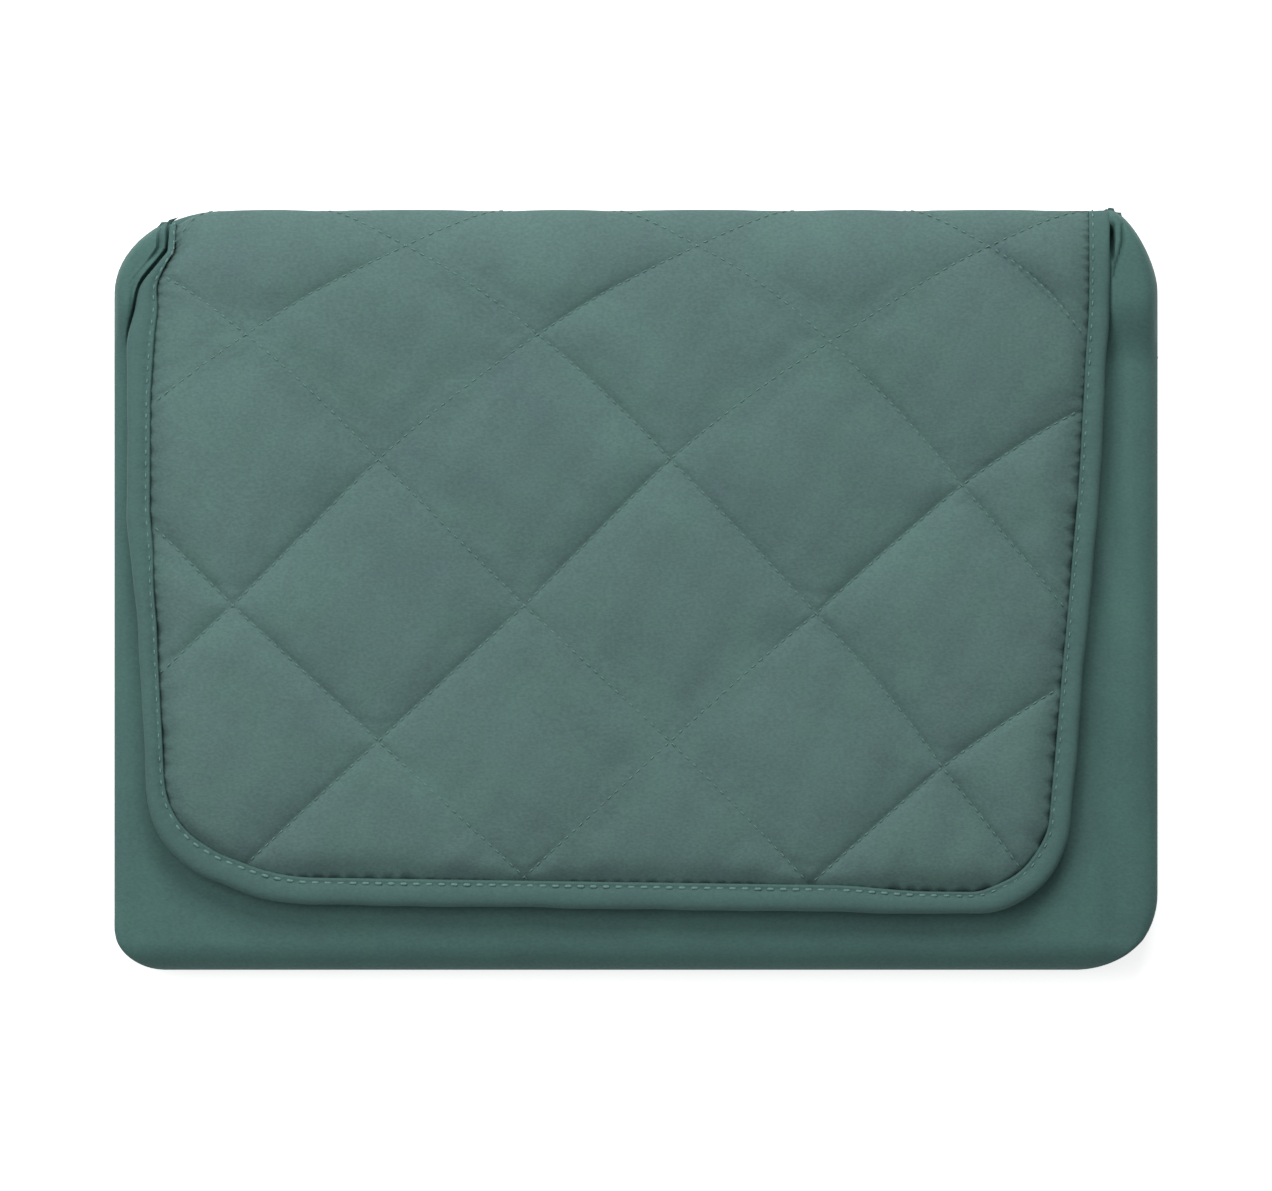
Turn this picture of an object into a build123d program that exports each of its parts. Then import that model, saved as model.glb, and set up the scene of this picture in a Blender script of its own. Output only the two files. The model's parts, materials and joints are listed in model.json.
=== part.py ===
"""A quilted travel changing pad, folded in three like a Z and lying flat, all lengths in millimetres.

Plan: +X to the right, +Y towards the fold that the flap turns over. Up is +Z. The origin is at the
bottom centre of the folded pad. From the bottom: back panel, centre panel, flap. The bottom fold joins
the back panel to the centre panel, and the top fold joins the centre panel to the flap. The plain side
is outside on the back and centre panels, and the quilted side is outside on the flap.
"""

from build123d import *
import math
import os

# ---- Driving dimensions: the folded pad in plan ------------------------------------------------
pad_width = 323.0
pad_depth = 235.6
lower_left_radius = 14.0
lower_right_radius = 23.5
upper_left_run = (34.0, 26.0)  # half axes of the oval corner, along X and along Y
upper_right_run = (14.6, 24.5)

flap_top_left_margin = 17.7  # from the pad's side to the flap's side, where it crosses the top fold
flap_top_right_margin = 14.7
flap_shoulder_margin = 3.7  # at the widest place of the flap's left side
flap_shoulder_drop = 41.0  # from the top fold's edge down to that place
flap_shoulder_radius = 70.0
flap_lower_left_margins = (11.0, 19.8)  # from the pad's side and from its lower edge
flap_lower_left_radius = 45.0
flap_lower_right_margins = (26.0, 17.3)
flap_lower_right_radius = 35.0
flap_run_on = 13.0  # how far the flap's outline is drawn past the top fold, which then trims it
flap_run_on_radius = 5.0

# ---- Driving dimensions: the layers ------------------------------------------------------------
panel_thickness = 9.0
backing_thickness = 0.8
film_thickness = 0.4
face_thickness = 1.2
hem_width = 9.0  # the plain backing turned over onto the quilted side
hem_round = 4.2  # the rolled edge of the back and centre panels, made as a chamfer that touches it

binding_width = 8.4
binding_thickness = 0.8
binding_wall = 1.2  # the doubled tape round the outside of the flap's edge
binding_round = 2.0
bound_thickness = 5.8  # the flap's edge, pressed together inside the binding
dome_round = 3.4  # where the padding falls away to the binding

# ---- Driving dimensions: the folds -------------------------------------------------------------
fold_gap = 0.4  # between the back panel and the centre panel
closure_gap = 1.2  # between the centre panel and the flap's binding
swing_gap = 0.25  # each panel's end stops this short of its fold's axis
slip = 0.1  # between layers that bend round each other, and between a seam's tucked layers

# ---- Driving dimensions: quilting and closure --------------------------------------------------
diamond_width = 89.8
diamond_height = 88.4
diamond_crossing = (-34.4, -4.7)
diamond_turn = -2.0  # degrees, the whole pattern seen from above
channel_half_width = 5.0
channel_depth = 2.4
patch_length = 38.0
patch_width = 20.0
patch_radius = 4.0
patch_rise = 31.0  # from the flap's lower edge to the middle of the patches
patch_gap = 0.3  # between the closed hooks and loops
loop_thickness = 0.8

# ---- Heights and axes, all worked out from the above -------------------------------------------
half_width = pad_width / 2
half_depth = pad_depth / 2
centre_low = panel_thickness + fold_gap
centre_high = centre_low + panel_thickness
flap_low = centre_high + closure_gap
flap_high = flap_low + panel_thickness
bottom_axis_z = centre_high / 2
bottom_axis_y = bottom_axis_z - half_depth
top_axis_z = (centre_low + flap_high) / 2
top_axis_y = half_depth - (flap_high - top_axis_z)
flap_backing_low = flap_low + binding_thickness
hook_thickness = flap_backing_low - centre_high - loop_thickness - patch_gap
fold_length = pad_width + 2 * hem_width  # longer than the pad, and trimmed by its outline
flap_top_left_x = flap_top_left_margin - half_width
flap_top_right_x = half_width - flap_top_right_margin
flap_shoulder = (flap_shoulder_margin - half_width, half_depth - flap_shoulder_drop)
flap_lower_left = (flap_lower_left_margins[0] - half_width, flap_lower_left_margins[1] - half_depth)
flap_lower_right = (half_width - flap_lower_right_margins[0], flap_lower_right_margins[1] - half_depth)
patch_centre = (
    (flap_lower_left[0] + flap_lower_right[0]) / 2,
    (flap_lower_left[1] + flap_lower_right[1]) / 2 + patch_rise,
)


# ---- Outlines in plan --------------------------------------------------------------------------
def corner_cut(run):
    """How far from a corner a 45 degree cut starts that just touches an arc of this radius in it."""
    return (2 - math.sqrt(2)) * run


def oval_corner(x, y, run):
    """The two points that cut the corner (x, y) along an oval's 45 degree tangent, the one on the
    Y-facing edge first, each with the radius of the arc that rounds it."""
    cut_x = corner_cut(run[0])
    cut_y = corner_cut(run[1])
    half_chord = math.hypot(cut_x, cut_y) / 2
    points = []
    for point, straight, turn in (
        ((x - math.copysign(cut_x, x), y), run[0] - cut_x, math.atan2(run[1], run[0])),
        ((x, y - math.copysign(cut_y, y)), run[1] - cut_y, math.atan2(run[0], run[1])),
    ):
        tangent_length = min(straight, half_chord)
        points.append((point, tangent_length / math.tan(turn / 2)))
    return points


def outline(corners):
    """A closed sketch through (point, radius) pairs, each corner rounded to its radius."""
    with BuildSketch(mode=Mode.PRIVATE) as sketch:
        with BuildLine():
            FilletPolyline(
                *[point for point, _ in corners],
                radius=[radius for _, radius in corners],
                close=True,
            )
        make_face()
    return sketch.sketch


def inset(sketch, distance):
    """The same outline, moved inwards all round."""
    with BuildSketch(mode=Mode.PRIVATE) as smaller:
        add(sketch)
        offset(amount=-distance)
    return smaller.sketch


body_outline = outline(
    [
        ((-half_width, -half_depth), lower_left_radius),
        ((half_width, -half_depth), lower_right_radius),
        *reversed(oval_corner(half_width, half_depth, upper_right_run)),
        *oval_corner(-half_width, half_depth, upper_left_run),
    ]
)


def beyond(low, top_x):
    """The point where the line from low through (top_x, half_depth) reaches past the top fold."""
    share = (half_depth + flap_run_on - low[1]) / (half_depth - low[1])
    return (low[0] + (top_x - low[0]) * share, half_depth + flap_run_on)


flap_outline = outline(
    [
        (flap_shoulder, flap_shoulder_radius),
        (flap_lower_left, flap_lower_left_radius),
        (flap_lower_right, flap_lower_right_radius),
        (beyond(flap_lower_right, flap_top_right_x), flap_run_on_radius),
        (beyond(flap_shoulder, flap_top_left_x), flap_run_on_radius),
    ]
)

bottom_trim = Plane(origin=(0, bottom_axis_y + swing_gap, 0), z_dir=(0, 1, 0))
top_trim = Plane(origin=(0, top_axis_y - swing_gap, 0), z_dir=(0, 1, 0))


# ---- Solids that several pieces share ----------------------------------------------------------
def block(sketch, low, high):
    """A sketch raised from one height to another."""
    with BuildPart(mode=Mode.PRIVATE) as solid:
        with BuildSketch(Plane.XY.offset(low)):
            add(sketch)
        extrude(amount=high - low)
    return solid.part


def soft_block(sketch, low, high, radius):
    """The same with both rims cut back by a chamfer that touches an arc of this radius."""
    with BuildPart(mode=Mode.PRIVATE) as solid:
        add(block(sketch, low, high))
        levels = solid.faces().sort_by(Axis.Z)
        chamfer(levels[0].edges() + levels[-1].edges(), corner_cut(radius))
    return solid.part


def dome(sketch, low, high, soften, size):
    """The same with a sharp lower rim, and its top rim softened by fillet or by chamfer."""
    with BuildPart(mode=Mode.PRIVATE) as solid:
        add(block(sketch, low, high))
        soften(solid.faces().sort_by(Axis.Z)[-1].edges(), size)
    return solid.part


def channels(top, sink):
    """V-shaped ridges on the diamond grid, below the height top, for the quilted seams. A larger
    sink makes the same V lower down, at the same slope."""
    depth = channel_depth + sink
    half = channel_half_width * depth / channel_depth
    slope = math.degrees(math.atan2(diamond_height, diamond_width))
    pitch = diamond_width * math.sin(math.radians(slope))
    rows = math.ceil(pad_width / pitch / 2) + 1
    with BuildPart(mode=Mode.PRIVATE) as grid:
        for angle in (diamond_turn + slope, diamond_turn - slope):
            along = Vector(1, 0, 0).rotate(Axis.Z, angle)
            across = Vector(0, 1, 0).rotate(Axis.Z, angle)
            for row in range(-rows, rows + 1):
                start = Vector(*diamond_crossing, top) + across * (row * pitch)
                with BuildSketch(Plane(origin=start, x_dir=across, z_dir=along)):
                    with BuildLine():
                        Polyline((-half, 0), (half, 0), (0, -depth), close=True)
                    make_face()
                extrude(amount=pad_width, both=True)
    return grid.part


def save(solid, name):
    """Name a finished piece and write it to its own file."""
    solid.part.label = name
    export_step(solid.part, f"parts/{name}.step")


os.makedirs("parts", exist_ok=True)


# ---- Back panel and centre panel: plain hemmed panels, one the mirror of the other --------------
inside_outline = inset(body_outline, backing_thickness)
window_outline = inset(body_outline, hem_width)
raised_outline = inset(body_outline, hem_width + slip)
pocket_outline = inset(body_outline, hem_width + slip + face_thickness)

film_low = backing_thickness
wadding_low = film_low + film_thickness
hem_low = panel_thickness - backing_thickness
tucked_face_low = hem_low - face_thickness
raised_face_low = panel_thickness - face_thickness
filling_round = hem_round - backing_thickness
filling = soft_block(inside_outline, backing_thickness, hem_low, filling_round)
seams = channels(panel_thickness, 0)
seam_folds = channels(panel_thickness, face_thickness)


def finish_panel(at_top_fold):
    """Trim a panel's layer at its folds, and turn the centre panel's over onto the back panel."""
    split(bisect_by=bottom_trim, keep=Keep.TOP)
    if at_top_fold:
        split(bisect_by=top_trim, keep=Keep.BOTTOM)
        mirror(about=Plane.XY.offset(bottom_axis_z), mode=Mode.REPLACE)


for panel, at_top_fold in (("back", False), ("centre", True)):
    # plain backing: a shallow tray whose rim rolls over and makes the hem round the quilted side
    with BuildPart() as backing:
        add(soft_block(body_outline, 0, panel_thickness, hem_round))
        add(filling, mode=Mode.SUBTRACT)
        add(block(window_outline, hem_low, panel_thickness), mode=Mode.SUBTRACT)
        finish_panel(at_top_fold)
    save(backing, f"{panel}_backing")

    # waterproof film against the backing
    with BuildPart() as film:
        add(filling)
        split(bisect_by=Plane.XY.offset(wadding_low), keep=Keep.BOTTOM)
        finish_panel(at_top_fold)
    save(film, f"{panel}_film")

    # wadding, pressed down along the quilting seams and under the hem
    with BuildPart() as wadding:
        add(filling)
        split(bisect_by=Plane.XY.offset(wadding_low), keep=Keep.TOP)
        split(bisect_by=Plane.XY.offset(tucked_face_low), keep=Keep.BOTTOM)
        add(block(pocket_outline, tucked_face_low, raised_face_low))
        add(seam_folds.intersect(block(pocket_outline, 0, panel_thickness)), mode=Mode.SUBTRACT)
        finish_panel(at_top_fold)
    save(wadding, f"{panel}_wadding")

    # quilted face, folded down into each seam, its margin tucked under the hem
    with BuildPart() as face:
        add(filling)
        split(bisect_by=Plane.XY.offset(tucked_face_low), keep=Keep.TOP)
        add(block(raised_outline, tucked_face_low, panel_thickness))
        add(block(pocket_outline, tucked_face_low, raised_face_low), mode=Mode.SUBTRACT)
        add(seam_folds.intersect(block(pocket_outline, 0, panel_thickness)))
        add(seams.intersect(block(pocket_outline, 0, panel_thickness)), mode=Mode.SUBTRACT)
        finish_panel(at_top_fold)
    save(face, f"{panel}_face")


# ---- Flap: bound on three sides, hanging from the top fold --------------------------------------
bound_high = flap_low + bound_thickness
tongue_high = bound_high - binding_thickness
flap_film_low = flap_backing_low + backing_thickness
flap_wadding_low = flap_film_low + film_thickness
flap_face_low = tongue_high - face_thickness
tongue_outline = inset(flap_outline, binding_wall + slip)
binding_inner = inset(flap_outline, binding_width)
dome_outline = inset(flap_outline, binding_width + slip)
dome_inner_outline = inset(flap_outline, binding_width + slip + face_thickness)
dome_inner_high = flap_high - face_thickness
dome_inner_bevel = corner_cut(dome_round - face_thickness)
dome_inner = dome(dome_inner_outline, flap_face_low, dome_inner_high, chamfer, dome_inner_bevel)
flap_seams = channels(flap_high, 0)
flap_seam_folds = channels(flap_high, face_thickness)

with BuildPart() as flap_backing:
    add(block(tongue_outline, flap_backing_low, flap_film_low))
    split(bisect_by=top_trim, keep=Keep.BOTTOM)
save(flap_backing, "flap_backing")

with BuildPart() as flap_film:
    add(block(tongue_outline, flap_film_low, flap_wadding_low))
    split(bisect_by=top_trim, keep=Keep.BOTTOM)
save(flap_film, "flap_film")

with BuildPart() as flap_wadding:
    add(block(tongue_outline, flap_wadding_low, flap_face_low))
    add(dome_inner)
    add(flap_seam_folds.intersect(dome_inner), mode=Mode.SUBTRACT)
    split(bisect_by=top_trim, keep=Keep.BOTTOM)
save(flap_wadding, "flap_wadding")

with BuildPart() as flap_face:
    add(block(tongue_outline, flap_face_low, tongue_high))
    add(dome(dome_outline, flap_face_low, flap_high, fillet, dome_round))
    add(dome_inner, mode=Mode.SUBTRACT)
    add(flap_seam_folds.intersect(dome_inner))
    add(flap_seams.intersect(block(dome_inner_outline, flap_low, flap_high)), mode=Mode.SUBTRACT)
    split(bisect_by=top_trim, keep=Keep.BOTTOM)
save(flap_face, "flap_face")

# binding tape: a C round the pressed edge, down the left side, along the bottom, up the right side
with BuildPart() as flap_binding:
    add(soft_block(flap_outline, flap_low, bound_high, binding_round))
    add(block(inset(flap_outline, binding_wall), flap_backing_low, tongue_high), mode=Mode.SUBTRACT)
    add(block(binding_inner, flap_low, bound_high), mode=Mode.SUBTRACT)
    split(bisect_by=top_trim, keep=Keep.BOTTOM)
save(flap_binding, "flap_binding")


# ---- Folds: the layers carried round from one panel to the next ---------------------------------
layers_from_plain_side = {
    "backing": backing_thickness,
    "film": film_thickness,
    "wadding": panel_thickness - backing_thickness - film_thickness - face_thickness,
    "face": face_thickness,
}


def half_tube(axis_y, axis_z, side, inner_radius, outer_radius, plan):
    """Half a tube round a fold's axis, on its +Y side or its -Y side, trimmed by a solid in plan."""
    with BuildPart(mode=Mode.PRIVATE) as tube:
        with BuildSketch(Plane((-fold_length / 2, axis_y, axis_z), x_dir=(0, 1, 0), z_dir=(1, 0, 0))):
            Circle(outer_radius)
            Circle(inner_radius, mode=Mode.SUBTRACT)
            with Locations((-side * outer_radius, 0)):
                Rectangle(2 * outer_radius, 2 * outer_radius, mode=Mode.SUBTRACT)
        extrude(amount=fold_length)
        add(plan, mode=Mode.INTERSECT)
    return tube.part


def roll_up(name, axis_y, axis_z, side, outer_radius, layers, plan):
    """One half tube for each layer, from the outside in, each clear of the one inside it."""
    radius = outer_radius
    for layer, thickness in layers:
        with BuildPart() as fold_layer:
            add(half_tube(axis_y, axis_z, side, radius - thickness + slip, radius, plan))
        save(fold_layer, f"{name}_{layer}")
        radius -= thickness


from_outside = list(layers_from_plain_side.items())
bottom_plan = block(body_outline, 0, centre_high)
roll_up("bottom_fold", bottom_axis_y, bottom_axis_z, -1, bottom_axis_z, from_outside, bottom_plan)

top_radius = flap_high - top_axis_z
with BuildPart(mode=Mode.PRIVATE) as top_plan:
    add(block(body_outline, centre_low, top_axis_z))
    add(block(flap_outline, top_axis_z, flap_high))
roll_up("top_fold", top_axis_y, top_axis_z, 1, top_radius, from_outside[::-1], top_plan.part)


# ---- Closure: loops sewn on the centre panel, hooks sewn under the flap -------------------------
def patch(low, thickness):
    """One sewn patch of hook or loop tape."""
    with BuildPart(mode=Mode.PRIVATE) as tape:
        with BuildSketch(Plane.XY.offset(low)):
            with Locations(patch_centre):
                RectangleRounded(patch_length, patch_width, patch_radius)
        extrude(amount=thickness)
    return tape.part


with BuildPart() as loop_patch:
    add(patch(centre_high, loop_thickness))
save(loop_patch, "loop_patch")

with BuildPart() as hook_patch:
    add(patch(centre_high + loop_thickness + patch_gap, hook_thickness))
save(hook_patch, "hook_patch")
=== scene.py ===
"""A quilted travel changing pad, folded in three like a Z and lying flat.

The shapes are worked out in millimetres and turned into metres when their meshes are made. Two long
strips of cloth make the pad. The base strip runs under the back panel, round the bottom fold and over
the centre panel. The flap strip runs from the centre panel's end, over the top fold and down the flap.
"""

import json
import math
import bmesh
import bpy
import numpy as np
from mathutils.kdtree import KDTree
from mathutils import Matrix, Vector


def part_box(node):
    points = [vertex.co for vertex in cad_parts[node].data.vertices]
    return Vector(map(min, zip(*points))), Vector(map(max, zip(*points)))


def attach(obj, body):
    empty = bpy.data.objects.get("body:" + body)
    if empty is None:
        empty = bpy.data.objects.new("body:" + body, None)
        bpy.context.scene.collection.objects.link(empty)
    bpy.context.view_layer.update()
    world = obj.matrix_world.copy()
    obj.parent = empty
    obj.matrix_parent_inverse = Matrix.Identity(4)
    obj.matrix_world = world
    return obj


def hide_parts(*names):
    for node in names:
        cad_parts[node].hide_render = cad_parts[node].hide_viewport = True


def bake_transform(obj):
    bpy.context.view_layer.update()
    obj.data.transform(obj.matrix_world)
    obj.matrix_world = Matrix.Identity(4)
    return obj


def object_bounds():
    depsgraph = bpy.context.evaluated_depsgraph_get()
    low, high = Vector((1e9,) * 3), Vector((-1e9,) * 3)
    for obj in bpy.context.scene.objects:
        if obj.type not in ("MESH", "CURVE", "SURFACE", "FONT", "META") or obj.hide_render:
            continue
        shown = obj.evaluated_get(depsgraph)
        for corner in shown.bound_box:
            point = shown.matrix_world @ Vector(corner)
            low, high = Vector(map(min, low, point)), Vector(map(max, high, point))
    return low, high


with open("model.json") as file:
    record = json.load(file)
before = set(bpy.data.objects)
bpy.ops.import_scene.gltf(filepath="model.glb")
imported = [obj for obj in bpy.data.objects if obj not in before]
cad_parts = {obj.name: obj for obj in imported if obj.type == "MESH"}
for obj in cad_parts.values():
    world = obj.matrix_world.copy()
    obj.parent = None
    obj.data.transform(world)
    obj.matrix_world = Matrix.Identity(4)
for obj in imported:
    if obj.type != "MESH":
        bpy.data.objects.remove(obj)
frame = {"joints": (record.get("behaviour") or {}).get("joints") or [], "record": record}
cad_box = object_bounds()


# ---- The frame's sizes, in millimetres -----------------------------------------------------------
def box_mm(node):
    low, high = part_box(node)
    return 1000 * np.array(low), 1000 * np.array(high)


def hinge_mm(name):
    places = {joint["name"]: joint["pos_m"] for joint in frame["joints"]}
    return 1000 * np.array(places[name])


pad_low = 1000 * np.array(cad_box[0])
pad_high = 1000 * np.array(cad_box[1])
left, near = pad_low[0], pad_low[1]
right, far = pad_high[0], pad_high[1]
base_hinge = hinge_mm("base_fold")
flap_hinge = hinge_mm("flap_fold")
base_radius = base_hinge[1] - near
flap_radius = far - flap_hinge[1]
panel = box_mm("back_face")[1][2]
centre_top = box_mm("centre_backing")[1][2]
centre_end = box_mm("centre_backing")[1][1]
base_quarter = base_radius * math.pi / 2
base_end = base_quarter + centre_end - base_hinge[1]
base_far = base_quarter + far - base_hinge[1]

# ---- Sizes that only the looks need --------------------------------------------------------------
hem = 9.0
edge_round = 4.5
tight_edge = 1.3  # the plain cloth's edge where it goes round the bottom fold
binding_width = 8.4
topstitch_depth = 7.1  # in from the flap's edge
topstitch_pitch = 3.65
notch_pitch = 3.6  # of the dents that the topstitch pulls into the quilted face
quilt_stitch_pitch = 3.0
roll_run = 26.0  # how far back the flap starts to bend down to the top fold
strip_depth = 9.2
face_thickness = 0.8
plain_thickness = 0.7
tape_thickness = 0.6
film_thickness = 0.25
filling_thickness = 4.0  # in the two panels of the base
# how far each layer of the flap lies below its crown, and each layer of the base inside its outside
flap_film_height = -6.95
flap_filling_bottom = -6.6
flap_backing_height = -7.4
base_film_depth = -0.95
base_filling_depth = -1.4
panel_face_depth = 2.35  # from the panel's top down to the face's stitched level
# the closure patches, in metres, and their levels as shares of a patch's thickness
patch_corner = 0.004
patch_slope = 0.0005
patch_rim_width = 0.0004
patch_channel_width = 0.0003
patch_seat_height = 0.15
patch_rim_height = 0.75
patch_channel_depth = 0.08
diamond = np.array([44.95, 44.2])  # half of a quilting diamond's width and height
diamond_side = 63.0
crossing = np.array([-34.4, -4.7])
pad_corners = ((14.0, 14.0, 2.0), (23.5, 23.5, 2.0), (14.6, 24.5, 1.5), (34.0, 26.0, 2.0))
flap_top_margins = (17.1, 15.0)
# the flap's other corners: from the pad's side, from its far or near edge, and the radius
flap_left_corners = (
    (17.1, 9.5, 6), (8.2, 22.5, 25), (6.8, 31, 20), (4.5, 40, 25), (4.2, 94, 40), (7.9, 131.5, 60),
)
flap_near_corners = ((11.3, 35.8, 32), (48.5, 20.8, 70), (293.1, 17.3, 30))
flap_right_bends = ((18.6, 90, 100), (15.4, 33, 100))
# places along the flap where the quilting is stitched slackly, and the seam hardly sinks in
slack_seams = (
    (35, 58), (77, 91), (-11, -67), (32, -29), (-57, 61), (-61, -67), (-100, 62),
    (-57, 17), (-14, -26), (25, -68), (-53, 92), (38, 90), (-134, 71),
)


slack_reach = 23
# the deep tuck beside the binding near the far right corner
tuck_place = (122, 93)
tuck_reach = 17
# crumples in the quilted face: height, wave length, turn and start
crumples = ((0.42, 29, 0.9, 2.0), (0.24, 13, -0.5, 0.9), (0.10, 6.5, 1.2, 0.2))
# how closely the outlines' points lie: the plain outlines, and the ones that distances are taken from
line_spacing = 1.5
fine_spacing = 0.3


# ---- Outlines ------------------------------------------------------------------------------------
def evenly(points, spacing, closed=True):
    """Points spaced evenly along a line through the given ones."""
    if closed:
        points = np.vstack([points, points[:1]])
    run = np.concatenate([[0], np.cumsum(np.linalg.norm(np.diff(points, axis=0), axis=1))])
    count = int(round(run[-1] / spacing))
    at = np.linspace(0, run[-1], count + 1)
    line = np.stack([np.interp(at, run, points[:, i]) for i in (0, 1)], axis=1)
    return line[:-1] if closed else line


def quarter(centre, radii, start, fullness):
    """A quarter of an oval. A fullness of 2 is a true ellipse, and a lower one is flatter."""
    angle = np.radians(np.linspace(start, start + 90, 40))
    across = np.sign(np.cos(angle)) * np.abs(np.cos(angle)) ** (2 / fullness)
    along = np.sign(np.sin(angle)) * np.abs(np.sin(angle)) ** (2 / fullness)
    return np.stack([centre[0] + radii[0] * across, centre[1] + radii[1] * along], 1)


def pad_outline():
    """The folded pad in plan, anticlockwise from its lower left corner."""
    signs = ((1, 1, 180), (-1, 1, 270), (-1, -1, 0), (1, -1, 90))
    ends = ((left, near), (right, near), (right, far), (left, far))
    arcs = []
    for (sx, sy, start), (x, y), (rx, ry, fullness) in zip(signs, ends, pad_corners):
        arcs.append(quarter((x + sx * rx, y + sy * ry), (rx, ry), start, fullness))
    return evenly(np.vstack(arcs), line_spacing)


def rounded(corners, radii):
    """An open line through the corners, with each inner corner rounded."""
    line = [corners[0]]
    for before, corner, after, radius in zip(corners, corners[1:], corners[2:], radii):
        toward = (before - corner) / np.linalg.norm(before - corner)
        away = (after - corner) / np.linalg.norm(after - corner)
        half = math.acos(np.clip(np.dot(toward, away), -1, 1)) / 2
        reach = radius / math.tan(half)
        middle = corner + (toward + away) / np.linalg.norm(toward + away) * radius / math.sin(half)
        first = corner + toward * reach - middle
        last = corner + away * reach - middle
        for share in np.linspace(0, 1, 20):
            step = first * (1 - share) + last * share
            line.append(middle + step / np.linalg.norm(step) * radius)
    line.append(corners[-1])
    return evenly(np.array(line), line_spacing, closed=False)


def inward(line):
    """The direction into the cloth at each point of an open line that goes round it anticlockwise."""
    along = np.gradient(line, axis=0)
    along /= np.linalg.norm(along, axis=1)[:, None]
    return np.stack([-along[:, 1], along[:, 0]], 1)


def inside(points, outline):
    """Which points lie inside a closed outline."""
    result = np.zeros(len(points), bool)
    ends = np.roll(outline, -1, axis=0)
    for (x0, y0), (x1, y1) in zip(outline, ends):
        straddles = (y0 > points[:, 1]) != (y1 > points[:, 1])
        if straddles.any():
            cross = x0 + (points[:, 1] - y0) * (x1 - x0) / (y1 - y0 + 1e-12)
            result ^= straddles & (points[:, 0] < cross)
    return result


def nearest(points, line):
    """The distance from each point to a line's points, and the place of the nearest one."""
    tree = KDTree(len(line))
    for index, (x, y) in enumerate(line):
        tree.insert((x, y, 0), index)
    tree.balance()
    found = [tree.find((x, y, 0)) for x, y in points]
    return np.array([f[2] for f in found]), np.array([f[1] for f in found])


def sides_at(outline, levels):
    """The lowest and highest X of a closed outline at each level of Y."""
    ends = np.roll(outline, -1, axis=0)
    low = np.full(len(levels), 1e9)
    high = np.full(len(levels), -1e9)
    for (x0, y0), (x1, y1) in zip(outline, ends):
        hit = (levels >= min(y0, y1) - 1e-9) & (levels <= max(y0, y1) + 1e-9)
        share = (levels - y0) / (y1 - y0) if abs(y1 - y0) > 1e-9 else np.zeros(len(levels))
        x = x0 + np.clip(share, 0, 1) * (x1 - x0)
        low = np.where(hit, np.minimum(low, x), low)
        high = np.where(hit, np.maximum(high, x), high)
        if abs(y1 - y0) <= 1e-9:
            low = np.where(hit, np.minimum(low, min(x0, x1)), low)
            high = np.where(hit, np.maximum(high, max(x0, x1)), high)
    return low, high


base_outline = pad_outline()
fine_outline = evenly(base_outline, fine_spacing)
far_line = fine_outline[fine_outline[:, 1] > far - 27]
far_line = far_line[np.argsort(far_line[:, 0])]

# ---- From the strips to their places -------------------------------------------------------------
turn_angles = np.linspace(0, math.pi / 2, 400)
turn_curve = np.stack([roll_run * np.sin(turn_angles), flap_radius * np.cos(turn_angles)], 1)
turn_lengths = np.concatenate([[0], np.cumsum(np.linalg.norm(np.diff(turn_curve, axis=0), axis=1))])
turn_start = far - roll_run
turn_length = turn_lengths[-1]
strip_end = turn_start + turn_length + flap_radius * math.pi / 2
# the padding leaves the middle of each fold free, so that the pad opens flat
roll_stop = turn_start + np.interp(math.radians(58), turn_angles, turn_lengths)
roll_restart = turn_start + turn_length + flap_radius * math.radians(32)
base_clear = 0.72 * base_quarter
flap_square_end = right - flap_top_margins[1] - 0.2  # the flap's own right end isn't rounded off


def far_shortfall(x):
    """How far the pad's far edge falls back at each X, at its two far corners."""
    return far - np.interp(x, far_line[:, 0], far_line[:, 1])


def over_flap(x, v, h):
    """Places on the flap strip: v is the way along the cloth, and h the height from its crown."""
    # the outside of the strip goes round a wide oval and the fold, and its inside round a tight core
    core = flap_radius - strip_depth
    share = -h / strip_depth
    angle = np.interp(v - turn_start, turn_lengths, turn_angles)
    lower = np.clip((v - turn_start - turn_length) / flap_radius, 0, math.pi / 2)
    outer_y = np.minimum(v, turn_start) + roll_run * np.sin(angle)
    outer_z = flap_hinge[2] + flap_radius * np.cos(angle)
    outer_y = np.where(lower > 0, flap_hinge[1] + flap_radius * np.cos(lower), outer_y)
    outer_z = np.where(lower > 0, flap_hinge[2] - flap_radius * np.sin(lower), outer_z)
    flat = flap_hinge[1] - turn_start
    way = np.clip((v - turn_start) / turn_length, 0, 1) * (flat + core * math.pi / 2)
    bend = np.clip((way - flat) / core, 0, math.pi / 2)
    inner_y = np.minimum(v, turn_start) + np.clip(way, 0, flat) + core * np.sin(bend)
    inner_z = flap_hinge[2] + core * np.cos(bend)
    inner_y = np.where(lower > 0, flap_hinge[1] + core * np.cos(lower), inner_y)
    inner_z = np.where(lower > 0, flap_hinge[2] - core * np.sin(lower), inner_z)
    y = outer_y + (inner_y - outer_y) * share
    z = outer_z + (inner_z - outer_z) * share
    y = y - far_shortfall(np.minimum(x, flap_square_end)) * smooth(y, turn_start, far)
    return np.stack([x, y, z], axis=-1)


def over_base(x, s, n):
    """Places on the base strip: s is 0 at the bottom fold's edge, and n is 0 on the plain outside."""
    angle = np.clip(s / base_radius, -math.pi / 2, math.pi / 2)
    reach = base_radius + n
    y = base_hinge[1] - reach * np.cos(angle) + np.maximum(np.abs(s) - base_quarter, 0)
    z = base_hinge[2] + reach * np.sin(angle)
    return np.stack([x, y, z], axis=-1)


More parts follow.
